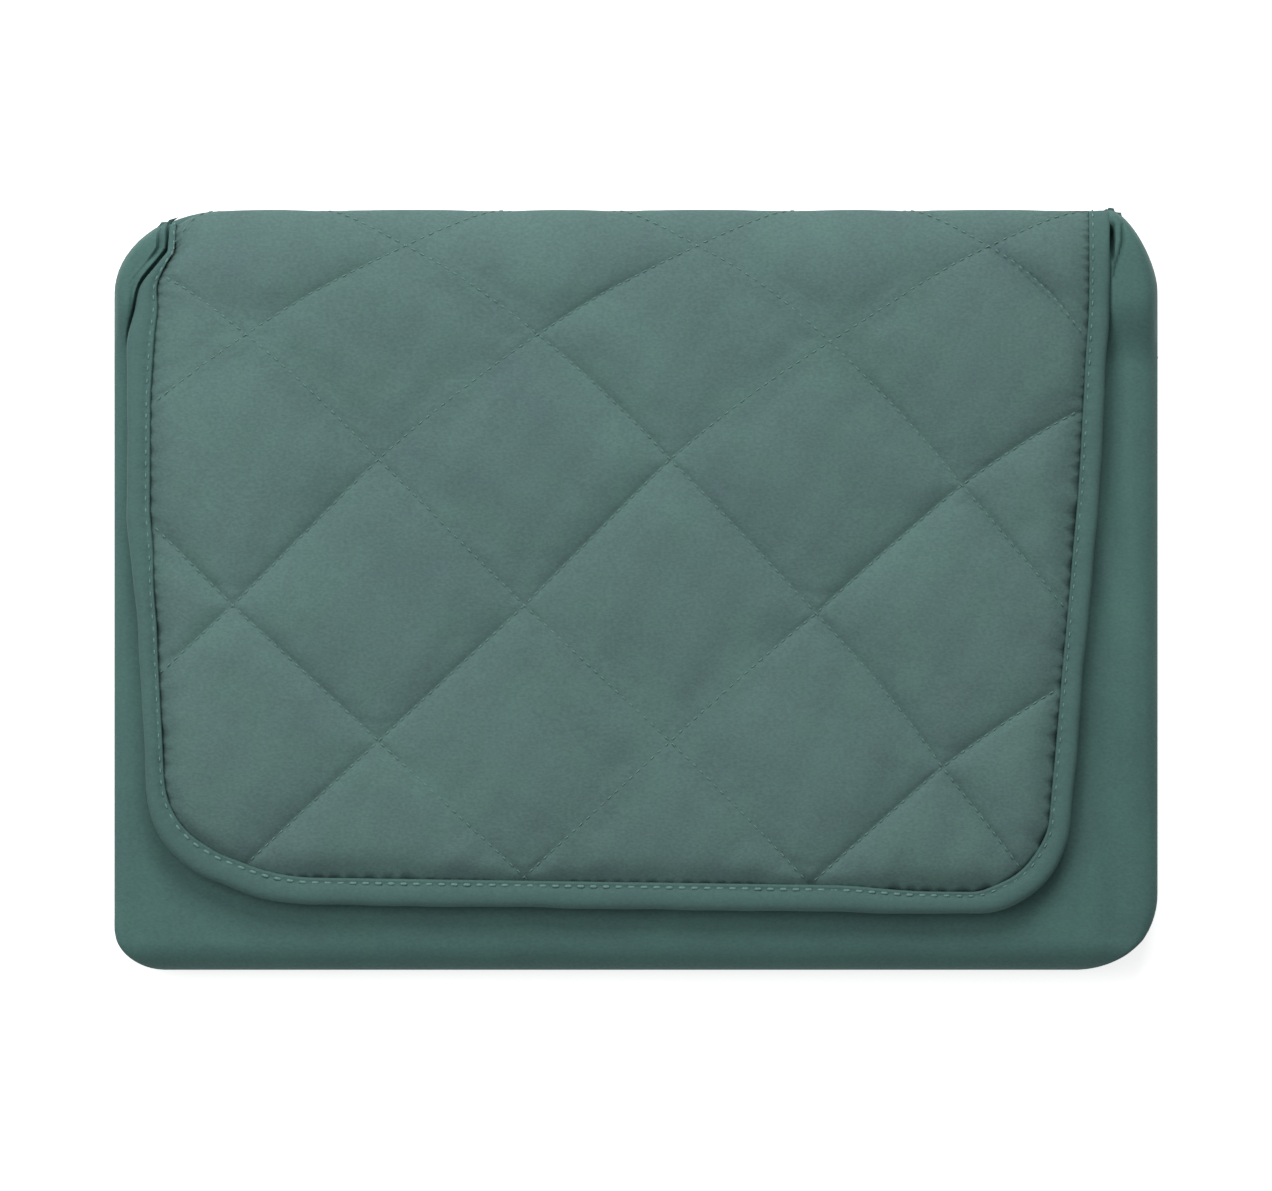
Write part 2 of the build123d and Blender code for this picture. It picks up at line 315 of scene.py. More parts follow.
def smooth(value, low, high):
    t = np.clip((value - low) / (high - low), 0, 1)
    return t * t * (3 - 2 * t)


def ripple(x, y, wave, turn=0.0, seed=0.0):
    """A gentle uneven wave with crests along the turned direction, from -1 to 1."""
    across = x * math.cos(turn) + y * math.sin(turn)
    along = y * math.cos(turn) - x * math.sin(turn)
    bend = 1.3 * np.sin(along / (2.6 * wave) + seed) + 0.7 * np.sin(along / (1.1 * wave) + 2 * seed)
    first = np.sin(2 * math.pi * across / wave + bend + seed)
    second = np.sin(2 * math.pi * across / (1.7 * wave) - 0.8 * bend + 3 * seed)
    return 0.6 * first + 0.4 * second


# ---- Making meshes -------------------------------------------------------------------------------
def make_piece(name, points, faces, material):
    """A piece from points in millimetres."""
    mesh = bpy.data.meshes.new(name)
    mesh.from_pydata((points / 1000).tolist(), [], [tuple(face) for face in faces])
    mesh.validate()
    for polygon in mesh.polygons:
        polygon.use_smooth = True
    piece = bpy.data.objects.new(name, mesh)
    bpy.context.scene.collection.objects.link(piece)
    piece.data.materials.append(material)
    return piece


def grid_faces(rows, columns):
    i, j = np.meshgrid(np.arange(rows - 1), np.arange(columns - 1), indexing="ij")
    first = (i * columns + j).ravel()
    return np.stack([first, first + 1, first + columns + 1, first + columns], 1)


def joined(parts):
    """The points and faces of several parts of one piece."""
    points = []
    faces = []
    count = 0
    for places, loops in parts:
        points.append(places)
        faces.append(np.array(loops) + count)
        count += len(places)
    return np.vstack(points), np.vstack(faces)


def tidy_mesh(piece):
    """Joins points that lie together and takes away those that no face uses."""
    shape = bmesh.new()
    shape.from_mesh(piece.data)
    bmesh.ops.remove_doubles(shape, verts=shape.verts, dist=0.00002)
    loose = [point for point in shape.verts if not point.link_faces]
    bmesh.ops.delete(shape, geom=loose, context="VERTS")
    shape.to_mesh(piece.data)
    shape.free()


def select_end(piece, axis, way):
    """In edit mode, selects only the face that lies furthest one way along an axis."""
    bpy.ops.mesh.select_mode(type="FACE")
    bpy.ops.mesh.select_all(action="DESELECT")
    shape = bmesh.from_edit_mesh(piece.data)
    end = max(shape.faces, key=lambda face: way * face.calc_center_median()[axis])
    end.select_set(True)
    bmesh.update_edit_mesh(piece.data)


def select_upright_edges(piece):
    """In edit mode, selects only the edges that stand upright."""
    bpy.ops.mesh.select_mode(type="EDGE")
    bpy.ops.mesh.select_all(action="DESELECT")
    shape = bmesh.from_edit_mesh(piece.data)
    for edge in shape.edges:
        run = edge.verts[0].co - edge.verts[1].co
        edge.select_set(abs(run.z) > 0.9 * run.length)
    bmesh.update_edit_mesh(piece.data)


def thicken(piece, thickness):
    layer = piece.modifiers.new("Cloth thickness", "SOLIDIFY")
    layer.thickness = thickness / 1000
    layer.offset = -1
    layer.use_even_offset = False


def thicken_now(piece, thickness):
    """Thickens a piece for good, with a crisp edge where it meets the next one."""
    thicken(piece, thickness)
    bpy.ops.object.select_all(action="DESELECT")
    piece.select_set(True)
    bpy.context.view_layer.objects.active = piece
    bpy.ops.object.modifier_apply(modifier="Cloth thickness")
    bpy.ops.object.shade_smooth_by_angle(angle=math.radians(50))


def soften(piece, levels=1):
    layer = piece.modifiers.new("Soft surface", "SUBSURF")
    layer.levels = levels
    layer.render_levels = levels


def on_flap(piece):
    """Bakes the placement of a piece of the flap into its mesh."""
    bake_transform(piece)


def on_base(piece):
    """Bakes the placement of a piece of the base into its mesh."""
    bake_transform(piece)


# ---- Quilting ------------------------------------------------------------------------------------
def row_heights(regular):
    """Where the quilting's rows of crossings lie along the strip.

    Unless regular, they are a little closer below the middle, and close up near the top fold.
    """
    row = np.linspace(-5, 7, 1201)
    pitch = np.where(row < 0, diamond[1] - 2.4, diamond[1] + 1.0)
    pitch = np.maximum(pitch - 10.4 * np.maximum(row - 0.85, 0), 24)
    if regular:
        pitch = np.full(len(row), diamond[1])
    height = np.concatenate([[0], np.cumsum((pitch[1:] + pitch[:-1]) / 2 * np.diff(row))])
    return row, height - np.interp(0, row, height) + crossing[1]


def quilt_place(m, k, regular):
    """The strip place of a point of the diamond pattern, m diamonds across and k up.

    Unless regular, the pattern droops and draws in towards the right, and leans near the top fold.
    """
    rows, heights = row_heights(regular)
    x = crossing[0] + diamond[0] * m
    y = np.interp(k, rows, heights)
    if not regular:
        y = y - 0.0008 * np.maximum(x, 0) ** 2 * (1 - smooth(k, 1.8, 3))
        x = x - 6 * (np.maximum(x, 0) / 100) ** 2 * np.clip(-k, 0, 1)
        x = x + 4.2 * np.maximum(k - 1, 0)
    return np.stack([x, y], axis=-1)


def drawn_in(place):
    """Moves evenly spaced grid lines closer to the seams, which are at the whole numbers."""
    return place - 0.5 * np.sin(2 * math.pi * place) / (2 * math.pi)


def quilt_grid(outline, parts, regular):
    """A grid with its lines along the diamonds, cut to an outline, with parts squares to a side.

    Gives its points and faces, which points are on a seam or on the rim, and how far each is from
    the two seams next to it, in shares of a diamond's side.
    """
    count = np.arange(-5 * parts, 5 * parts + 1)
    a, b = np.meshgrid(count, count, indexing="ij")
    first, second = drawn_in(a / parts), drawn_in(b / parts)
    flat = quilt_place(first + second, first - second, regular)
    held = inside(flat.reshape(-1, 2), outline).reshape(a.shape)
    whole = held[:-1, :-1] & held[1:, :-1] & held[1:, 1:] & held[:-1, 1:]
    used = np.zeros(held.shape, bool)
    for di, dj in ((0, 0), (1, 0), (1, 1), (0, 1)):
        used[di : di + whole.shape[0], dj : dj + whole.shape[1]] |= whole
    number = np.full(held.shape, -1)
    number[used] = np.arange(used.sum())
    i, j = np.nonzero(whole)
    faces = np.stack([number[i, j], number[i, j + 1], number[i + 1, j + 1], number[i + 1, j]], 1)
    points = flat[used]
    seam = ((a % parts == 0) | (b % parts == 0))[used]
    near_faces = np.bincount(faces.ravel(), minlength=len(points))
    rim = near_faces < 4
    fine = evenly(outline, 0.4)
    place = nearest(points[rim], fine)[1]
    points[rim] = 0.85 * fine[place] + 0.15 * points[rim]
    to_first = np.abs(first - np.round(first))[used]
    to_second = np.abs(second - np.round(second))[used]
    return points, faces, seam, rim, np.stack([to_first, to_second], 1)


def crease_seams(piece, seam):
    """Keeps the stitched lines crisp when the surface is softened."""
    crease = piece.data.attributes.new("crease_edge", "FLOAT", "EDGE")
    pairs = np.zeros(len(piece.data.edges) * 2, int)
    piece.data.edges.foreach_get("vertices", pairs)
    both = seam[pairs.reshape(-1, 2)].all(axis=1)
    crease.data.foreach_set("value", np.where(both, 0.75, 0.0))


def puff(points, faces, held, cap):
    """How far the quilted cloth stands up between its held lines, from a cloth simulation."""
    scale = 0.01
    mesh = bpy.data.meshes.new("quilt_cloth")
    start = np.column_stack([points, np.zeros(len(points))]) * scale
    mesh.from_pydata(start.tolist(), [], faces.tolist())
    cloth = bpy.data.objects.new("quilt_cloth", mesh)
    bpy.context.scene.collection.objects.link(cloth)
    group = cloth.vertex_groups.new(name="stitched")
    group.add(np.nonzero(held)[0].tolist(), 1.0, "REPLACE")
    layer = cloth.modifiers.new("Cloth", "CLOTH")
    settings = layer.settings
    settings.quality = 6
    settings.mass = 0.3
    settings.bending_stiffness = 0.1
    settings.air_damping = 1
    settings.vertex_group_mass = "stitched"
    settings.use_pressure = True
    settings.uniform_pressure_force = 2
    settings.shrink_min = -0.006
    settings.effector_weights.gravity = 0
    layer.point_cache.frame_start = 1
    layer.point_cache.frame_end = 20
    for moment in range(1, 21):
        bpy.context.scene.frame_set(moment)
    shaped = cloth.evaluated_get(bpy.context.evaluated_depsgraph_get())
    found = np.zeros(len(points) * 3)
    shaped.data.vertices.foreach_get("co", found)
    found = found.reshape(-1, 3) / scale
    bpy.data.objects.remove(cloth)
    bpy.data.meshes.remove(mesh)
    bpy.context.scene.frame_set(1)
    moved = points + np.clip(found[:, :2] - points, -1, 1)
    return moved, cap * np.tanh(1.3 * np.abs(found[:, 2]) / cap)


def seam_lines(outline, spacing, regular):
    """Evenly spaced stitches along every quilting line: their places and directions."""
    places = []
    ways = []
    for step in (1, -1):
        for line in range(-12, 13, 2):
            m = np.linspace(-6, 6, 1600)
            k = step * (m - line)
            keep = (k > -4.5) & (k < 6.5)
            path = quilt_place(m[keep], k[keep], regular)
            if len(path) < 4:
                continue
            path = evenly(path, spacing, closed=False)
            held = inside(path, outline)
            places.append(path[held])
            ways.append(np.gradient(path, axis=0)[held])
    ways = np.vstack(ways)
    return np.vstack(places), ways / np.linalg.norm(ways, axis=1)[:, None]


def one_stitch():
    """A thread stitch one unit long along X, with narrow ends: its points and its faces."""
    bpy.ops.object.select_all(action="DESELECT")
    bpy.ops.mesh.primitive_cylinder_add(vertices=6, radius=0.425, depth=0.64, rotation=(0, math.pi / 2, 0))
    bpy.ops.object.transform_apply(location=True, rotation=True, scale=True)
    stitch = bpy.context.active_object
    bpy.ops.object.mode_set(mode="EDIT")
    for way in (-1, 1):
        select_end(stitch, 0, way)
        bpy.ops.mesh.extrude_region_move(TRANSFORM_OT_translate={"value": (0.18 * way, 0, 0)})
        bpy.ops.transform.resize(value=(1, 0.294, 0.294), center_override=(0, 0, 0))
    bpy.ops.object.mode_set(mode="OBJECT")
    mesh = stitch.data
    points = np.array([point.co for point in mesh.vertices])
    faces = [tuple(face.vertices) for face in mesh.polygons]
    bpy.data.objects.remove(stitch)
    bpy.data.meshes.remove(mesh)
    return points, faces


stitch_points, stitch_faces = one_stitch()


def stitches(name, centres, ways, ups, size, material):
    """Copies of one stitch. size is the length, width and height of all of them, or of each."""
    shape = stitch_points[None] * np.broadcast_to(size, (len(centres), 3))[:, None, :]
    ways = ways / np.linalg.norm(ways, axis=1)[:, None]
    across = np.cross(ups, ways)
    across /= np.linalg.norm(across, axis=1)[:, None]
    ups = np.cross(ways, across)
    frames = np.stack([ways, across, ups], axis=1)
    points = centres[:, None, :] + np.einsum("npk,nkc->npc", shape, frames)
    faces = []
    for number in range(len(centres)):
        base = number * len(stitch_points)
        faces.extend(tuple(base + corner for corner in face) for face in stitch_faces)
    return make_piece(name, points.reshape(-1, 3), faces, material)


def on_surface(surface, places, ways, lift):
    """Where strip places and directions come out in space: centre, direction and upward normal."""
    step = 0.3
    middle = surface(places)
    ahead = surface(places + step * ways) - surface(places - step * ways)
    turned = np.stack([-ways[:, 1], ways[:, 0]], 1)
    aside = surface(places + step * turned) - surface(places - step * turned)
    up = np.cross(ahead, aside)
    up /= np.linalg.norm(up, axis=1)[:, None]
    return middle + lift * up, ahead, up


# ---- Materials -----------------------------------------------------------------------------------
def new_material(name):
    material = bpy.data.materials.new(name)
    material.use_nodes = True
    nodes = material.node_tree.nodes
    return material, nodes, material.node_tree.links, nodes["Principled BSDF"]


def noise(nodes, links, where, scale, detail, roughness, stretch=None):
    source = where
    if stretch:
        mapping = nodes.new("ShaderNodeMapping")
        mapping.inputs["Scale"].default_value = stretch
        links.new(where, mapping.inputs["Vector"])
        source = mapping.outputs["Vector"]
    texture = nodes.new("ShaderNodeTexNoise")
    texture.inputs["Scale"].default_value = scale
    texture.inputs["Detail"].default_value = detail
    texture.inputs["Roughness"].default_value = roughness
    links.new(source, texture.inputs["Vector"])
    return texture.outputs["Fac"]


def tinted(nodes, links, factor, low, high, start=0.3, end=0.7):
    ramp = nodes.new("ShaderNodeValToRGB")
    ramp.color_ramp.elements[0].position = start
    ramp.color_ramp.elements[0].color = (*low, 1)
    ramp.color_ramp.elements[1].position = end
    ramp.color_ramp.elements[1].color = (*high, 1)
    links.new(factor, ramp.inputs["Fac"])
    return ramp.outputs["Color"]


def blended(nodes, links, first, second, amount):
    mix = nodes.new("ShaderNodeMix")
    mix.data_type = "RGBA"
    mix.inputs[0].default_value = amount
    links.new(first, mix.inputs[6])
    links.new(second, mix.inputs[7])
    return mix.outputs[2]


def bumped(nodes, links, shader, heights):
    """Adds bumps of (height source, strength, distance in millimetres) one on another."""
    normal = None
    for height, strength, distance in heights:
        bump = nodes.new("ShaderNodeBump")
        bump.inputs["Strength"].default_value = strength
        bump.inputs["Distance"].default_value = distance / 1000
        links.new(height, bump.inputs["Height"])
        if normal:
            links.new(normal, bump.inputs["Normal"])
        normal = bump.outputs["Normal"]
    links.new(normal, shader.inputs["Normal"])


def lighter(colour, factor):
    return tuple(min(part * factor, 1) for part in colour)


def toned(colour, shares):
    return tuple(part * share for part, share in zip(colour, shares))


def brushed_cloth(name, colour, contrast, sheen):
    """Peach-skin microfibre: a soft nap with faint brushed patches."""
    material, nodes, links, shader = new_material(name)
    where = nodes.new("ShaderNodeTexCoord").outputs["Object"]
    broad = noise(nodes, links, where, scale=22, detail=4, roughness=0.6)
    patches = noise(nodes, links, where, scale=55, detail=5, roughness=0.65)
    nap = noise(nodes, links, where, scale=900, detail=2, roughness=0.6, stretch=(1, 1.6, 1))
    fibre = noise(nodes, links, where, scale=2600, detail=2, roughness=0.7)
    first = tinted(nodes, links, broad, lighter(colour, 1 - contrast), lighter(colour, 1 + contrast))
    cooler = (colour[0] * 0.97, colour[1] * (1 - contrast), colour[2] * (1 + contrast * 0.4))
    second = tinted(nodes, links, patches, cooler, lighter(colour, 1 + contrast))
    strong = 1.7 * contrast
    third = tinted(nodes, links, nap, lighter(colour, 1 - strong), lighter(colour, 1 + strong))
    colours = blended(nodes, links, blended(nodes, links, first, second, 0.5), third, 0.35)
    links.new(colours, shader.inputs["Base Color"])
    shader.inputs["Roughness"].default_value = 0.78
    shader.inputs["Specular IOR Level"].default_value = 0.4
    shader.inputs["Sheen Weight"].default_value = sheen
    shader.inputs["Sheen Roughness"].default_value = 0.55
    shader.inputs["Sheen Tint"].default_value = (*lighter(colour, 3.2), 1)
    bumped(nodes, links, shader, ((fibre, 0.25, 0.12), (nap, 0.2, 0.2), (patches, 0.15, 1.2)))
    return material


def thread_material(name, colour):
    material, nodes, links, shader = new_material(name)
    where = nodes.new("ShaderNodeTexCoord").outputs["Object"]
    strand = noise(nodes, links, where, scale=3000, detail=2, roughness=0.5)
    colours = tinted(nodes, links, strand, lighter(colour, 0.8), lighter(colour, 1.15))
    links.new(colours, shader.inputs["Base Color"])
    shader.inputs["Roughness"].default_value = 0.6
    bumped(nodes, links, shader, ((strand, 0.4, 0.1),))
    return material


def filling_material(name, colour):
    material, nodes, links, shader = new_material(name)
    where = nodes.new("ShaderNodeTexCoord").outputs["Object"]
    fluff = noise(nodes, links, where, scale=260, detail=6, roughness=0.7)
    strands = noise(nodes, links, where, scale=1500, detail=3, roughness=0.6, stretch=(1, 4, 1))
    links.new(tinted(nodes, links, fluff, lighter(colour, 0.86), colour), shader.inputs["Base Color"])
    shader.inputs["Roughness"].default_value = 0.95
    bumped(nodes, links, shader, ((strands, 0.5, 0.4), (fluff, 0.5, 1.5)))
    return material


def film_material(name, colour):
    material, nodes, links, shader = new_material(name)
    where = nodes.new("ShaderNodeTexCoord").outputs["Object"]
    haze = noise(nodes, links, where, scale=60, detail=3, roughness=0.5)
    links.new(tinted(nodes, links, haze, lighter(colour, 0.92), colour), shader.inputs["Base Color"])
    shader.inputs["Roughness"].default_value = 0.35
    bumped(nodes, links, shader, ((haze, 0.2, 0.6),))
    return material


def closure_tape_material(name, colour, pitch, depth):
    """Closure tape: rows of small hooks, or a mat of loops."""
    material, nodes, links, shader = new_material(name)
    where = nodes.new("ShaderNodeTexCoord").outputs["Object"]
    cells = nodes.new("ShaderNodeTexVoronoi")
    cells.inputs["Scale"].default_value = 1000 / pitch
    cells.inputs["Randomness"].default_value = 0.35
    links.new(where, cells.inputs["Vector"])
    distance = cells.outputs["Distance"]
    # painted light and shade: each hook or loop is painted lighter and the gaps between them darker, on
    # the same cells as the bump
    colours = tinted(nodes, links, distance, lighter(colour, 1.3), lighter(colour, 0.6), 0.1, 0.8)
    links.new(colours, shader.inputs["Base Color"])
    shader.inputs["Roughness"].default_value = 0.7
    bumped(nodes, links, shader, ((distance, 0.7, depth),))
    return material


def floor_material():
    """A pale floor. The eye sees it near white where no shadow falls."""
    material, nodes, links, shader = new_material("pale_floor")
    shader.inputs["Base Color"].default_value = (0.9, 0.9, 0.9, 1)
    shader.inputs["Roughness"].default_value = 0.9
    glow = nodes.new("ShaderNodeEmission")
    glow.inputs["Strength"].default_value = 0.7
    both = nodes.new("ShaderNodeAddShader")
    rays = nodes.new("ShaderNodeLightPath")
    seen = nodes.new("ShaderNodeMath")
    seen.operation = "MAXIMUM"
    most = nodes.new("ShaderNodeMath")
    most.operation = "MAXIMUM"
    links.new(rays.outputs["Is Camera Ray"], seen.inputs[0])
    links.new(rays.outputs["Is Glossy Ray"], seen.inputs[1])
    links.new(seen.outputs[0], most.inputs[0])
    links.new(rays.outputs["Is Transmission Ray"], most.inputs[1])
    mix = nodes.new("ShaderNodeMixShader")
    links.new(shader.outputs["BSDF"], both.inputs[0])
    links.new(glow.outputs["Emission"], both.inputs[1])
    links.new(most.outputs[0], mix.inputs["Fac"])
    links.new(shader.outputs["BSDF"], mix.inputs[1])
    links.new(both.outputs["Shader"], mix.inputs[2])
    links.new(mix.outputs["Shader"], nodes["Material Output"].inputs["Surface"])
    return material


colours = {row["slot"]: tuple(row["base_color"][:3]) for row in frame["record"]["materials"]}
face_colour = colours["face_cloth"]
backing_colour = colours["backing_cloth"]
tape_colour = colours["binding_tape"]
face_cloth = brushed_cloth("quilted_microfibre", toned(face_colour, (0.90, 0.90, 0.91)), 0.22, 0.06)
backing_cloth = brushed_cloth("plain_microfibre", toned(backing_colour, (0.98, 1.16, 1.12)), 0.18, 0.06)
binding_cloth = brushed_cloth("binding_tape_cloth", toned(tape_colour, (0.71, 0.82, 0.83)), 0.16, 0.06)
pale_thread = thread_material("pale_thread", lighter(face_colour, 1.35))
seam_thread = thread_material("seam_thread", lighter(face_colour, 1.35))
filling_cloth = filling_material("polyester_filling", colours["wadding"])
film_plastic = film_material("waterproof_film_plastic", colours["film"])
hook_tape = closure_tape_material("hook_tape", tape_colour, 1.1, 0.6)
loop_tape = closure_tape_material("loop_tape", tape_colour, 0.7, 0.4)


# ---- The flap's outline, on its strip ------------------------------------------------------------
def flap_line():
    """The flap's edge from the far left, down, along and up to the far right."""
    corners = [(left + flap_top_margins[0], strip_end)]
    radii = []
    for across, back, radius in flap_left_corners:
        corners.append((left + across, far - back))
        radii.append(radius)
    for across, forward, radius in flap_near_corners:
        corners.append((left + across, near + forward))
        radii.append(radius)
    for across, back, radius in flap_right_bends:
        corners.append((right - across, far - back))
        radii.append(radius)
    corners.append((right - flap_top_margins[1], strip_end))
    return rounded([np.array(corner, float) for corner in corners], radii)


flap_edge = flap_line()
flap_inward = inward(flap_edge)


def soften_line(values, reach):
    """Evens out values along a line."""
    padded = np.concatenate([np.full(reach, values[0]), values, np.full(reach, values[-1])])
    weights = np.hanning(2 * reach + 1)
    return np.convolve(padded, weights / weights.sum(), "valid")


def binding_widths():
    """The binding's width along the flap's edge, as a share of its full width.

    It goes by the edge's direction, and up the left side by the height, as the tape turns under there.
    """
    way_in = np.degrees(np.arctan2(flap_inward[:, 1], flap_inward[:, 0]))
    directions = (0, 25, 55, 90, 125, 150, 180)
    turned = np.interp(way_in, directions, (0.68, 0.86, 1.06, 0.98, 0.93, 0.93, 0.75))
    turned -= 0.18 * smooth(flap_edge[:, 0], 60, 90) * np.exp(-(((way_in - 90) / 12) ** 2))
    heights = (-60, -20, 0, 12, 60, 78, 84, 90, 95, 98, 101.6, 105, 108)
    shares = (0.68, 0.68, 0.72, 0.86, 0.86, 0.99, 0.88, 0.80, 0.62, 0.52, 0.40, 0.30, 0.24)
    beside = np.interp(flap_edge[:, 1], heights, shares)
    on_left = (flap_edge[:, 0] < 0) & (flap_edge[:, 1] > -60)
    return soften_line(np.where(on_left, beside, turned), 4)


binding_share = binding_widths()
fine_edge = evenly(flap_edge, fine_spacing, closed=False)
fine_steps = np.arange(len(fine_edge)) * fine_spacing / line_spacing
fine_share = np.interp(fine_steps, np.arange(len(flap_edge)), binding_share)


def flap_inset(depth):
    """The closed outline of the flap strip, that far inside its edge."""
    line = flap_edge + depth * (binding_share[:, None] * flap_inward)
    line[0, 1] = strip_end
    line[-1, 1] = strip_end
    line[:, 1] = np.minimum(line[:, 1], strip_end)
    far_side = np.linspace(line[-1], line[0], 200)[1:-1]
    return np.vstack([line, far_side])


def roll_share(v):
    return smooth(v, turn_start - 6, turn_start + turn_length - 4)


def corner_dip(x, v):
    """How far the flap's far left corner is pulled down where it goes over the fold."""
    return 4.2 * np.exp(-(((x - left - 19) / 4.5) ** 2 + ((v - far + 3) / 7) ** 2))


def flap_rest_height(places):
    """The stitched-down level of the flap's face: a ditch at the binding, and full inside it."""
    gap, place = nearest(places, fine_edge)
    depth = np.maximum(gap / fine_share[place] - binding_width, 0)
    run = place * fine_spacing
    notch = 0.5 + 0.5 * np.cos(2 * math.pi * run / notch_pitch)
    uneven = np.clip(0.5 + 0.9 * ripple(run, 0 * gap, 17, 0, 0.6), 0, 1.4)
    level = -1.7 - 2.0 * np.exp(-depth / 4.0) - 1.3 * np.exp(-depth / 1.1)
    level = level - 0.28 * notch * uneven * np.exp(-depth / 1.6)
    return level * (1 - 0.62 * roll_share(places[:, 1])) - corner_dip(places[:, 0], places[:, 1])


def slack_lift(x, v):
    """How far a seam stands above its tight level, which is more where the stitching is slack."""
    slack = np.zeros(len(x))
    for middle_x, middle_v in slack_seams:
        slack += np.exp(-((x - middle_x) ** 2 + (v - middle_v) ** 2) / slack_reach**2)
    return 0.15 + 1.35 * np.clip(slack, 0, 1)


def seam_lift(x, v, off_seam):
    """The same beside a seam, where it fades out. off_seam is in shares of a diamond's side."""
    close = np.exp(-((off_seam.min(axis=1) * diamond_side / 5.5) ** 2))
    return slack_lift(x, v) * close


def tuck_share(x, v):
    """How near a point of the flap is to the deep tuck."""
    return np.exp(-((x - tuck_place[0]) ** 2 + (v - tuck_place[1]) ** 2) / tuck_reach**2)


def deep_tuck(x, v, off_seam):
    """The deep crease that runs into the binding near the flap's far right corner."""
    return -1.7 * tuck_share(x, v) * np.exp(-((off_seam[:, 0] * diamond_side / 5) ** 2))


# ---- The flap ------------------------------------------------------------------------------------
def flap_face():
    outline = flap_inset(6.9)
    points, faces, seam, rim, off_seam = quilt_grid(outline, 24, False)
    rest = flap_rest_height(points)
    moved, raised = puff(points, faces, seam | rim, 3.6)
    x, v = moved[:, 0], moved[:, 1]
    raised = raised + seam_lift(x, v, off_seam) * np.clip(1 - raised / 2.4, 0, 1) * (~rim)
    raised = raised + deep_tuck(x, v, off_seam) * (~rim)
    raised = raised * (1 - 0.75 * roll_share(v))
    gap = nearest(points, points[seam])[0]
    tight = 1 - np.clip(slack_lift(x, v) / 1.5, 0, 1)
    valley = -0.55 * tight * np.exp(-gap / 1.3) - 0.35 * tight * np.exp(-gap / 4)
    pucker = 0.2 * np.exp(-gap / 3.5) * ripple(x, v, 5.5, 0.6, 1.0)
    crumple = sum(rise * ripple(x, v, wave, turn, start) for rise, wave, turn, start in crumples)
    crumple = crumple * smooth(gap, 1, 9) * (1 - roll_share(v))
    height = rest + raised + pucker + crumple + valley * (~rim) * (1 - 0.6 * roll_share(v))
    piece = make_piece("flap_quilted_face", over_flap(x, v, height), faces, face_cloth)
    crease_seams(piece, seam)
    soften(piece)
    thicken(piece, face_thickness)
    on_flap(piece)
    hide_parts("flap_face", "top_fold_face")
    return piece


def flap_quilting_stitches():
    places, ways = seam_lines(flap_inset(strip_depth), quilt_stitch_pitch, False)
    lift = slack_lift(places[:, 0], places[:, 1])
    lift = lift - 0.7 * (1 - np.clip(lift / 1.5, 0, 1))

    def seam_surface(at):
        raised = lift * (1 - 0.75 * roll_share(at[:, 1]))
        return over_flap(at[:, 0], at[:, 1], flap_rest_height(at) + raised)

    centres, ahead, up = on_surface(seam_surface, places, ways, 0.12)
    piece = stitches("flap_quilting_stitches", centres, ahead, up, (1.5, 0.5, 0.4), seam_thread)
    on_flap(piece)
    return piece


def binding_section():
    """The folded tape's section: depth in from the flap's edge, and height from the crown."""
    top = ((8.7, -3.8), (8.5, -3.0), (8.0, -2.65), (7.1, -3.15), (6.0, -2.5), (4.2, -2.1))
    edge = ((2.4, -2.15), (1.0, -2.6), (0.2, -3.7), (0.0, -5.4), (0.4, -7.1), (1.6, -8.2))
    under = ((3.6, -8.5), (5.4, -8.45), (6.4, -8.25), (7.4, -8.5), (8.4, -8.6))
    return np.array(top + edge + under)


def binding_points(section):
    """The tape's surface along the flap's edge, gently uneven, with small gathers at its stitches."""
    run = np.concatenate([[0], np.cumsum(np.linalg.norm(np.diff(flap_edge, axis=0), axis=1))])
    depth = section[None, :, 0] * binding_share[:, None]
    wave = 0.2 * ripple(run, run * 0, 47, 0, 0.4) + 0.12 * ripple(run, run * 0, 19, 0, 1.9)
    depth = depth + wave[:, None] * np.clip(1 - depth / 9, 0, 1)
    at_stitches = np.exp(-(((section[:, 0] - topstitch_depth) / 2.2) ** 2)) * (section[:, 1] > -4)
    gather = 0.16 * np.sin(2 * math.pi * run / 3.8)[:, None]
    crease = 0.16 * ripple(run, run * 0, 9.0, 0, 0.8)[:, None]
    bulge = 0.2 * ripple(run, run * 0, 31, 0, 2.2)[:, None] * (section[None, :, 1] > -5)
    height = section[None, :, 1] + at_stitches[None, :] * (gather + crease) + bulge
    lift = 1 - 0.8 * roll_share(flap_edge[:, 1])[:, None]
    upper = section[None, :, 1] > -5.5
    height = np.where(upper, height * lift, height)
    x = flap_edge[:, 0:1] + depth * flap_inward[:, 0:1]
    v = np.minimum(flap_edge[:, 1:2] + depth * flap_inward[:, 1:2], strip_end)
    return over_flap(x, v, height - np.where(upper, corner_dip(x, v), 0))


def flap_binding():
    section = binding_section()
    points = binding_points(section)
    faces = grid_faces(len(flap_edge), len(section))
    piece = make_piece("flap_binding_tape", points.reshape(-1, 3), faces, binding_cloth)
    soften(piece)
    thicken(piece, tape_thickness)
    on_flap(piece)
    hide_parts("flap_binding")
    return piece


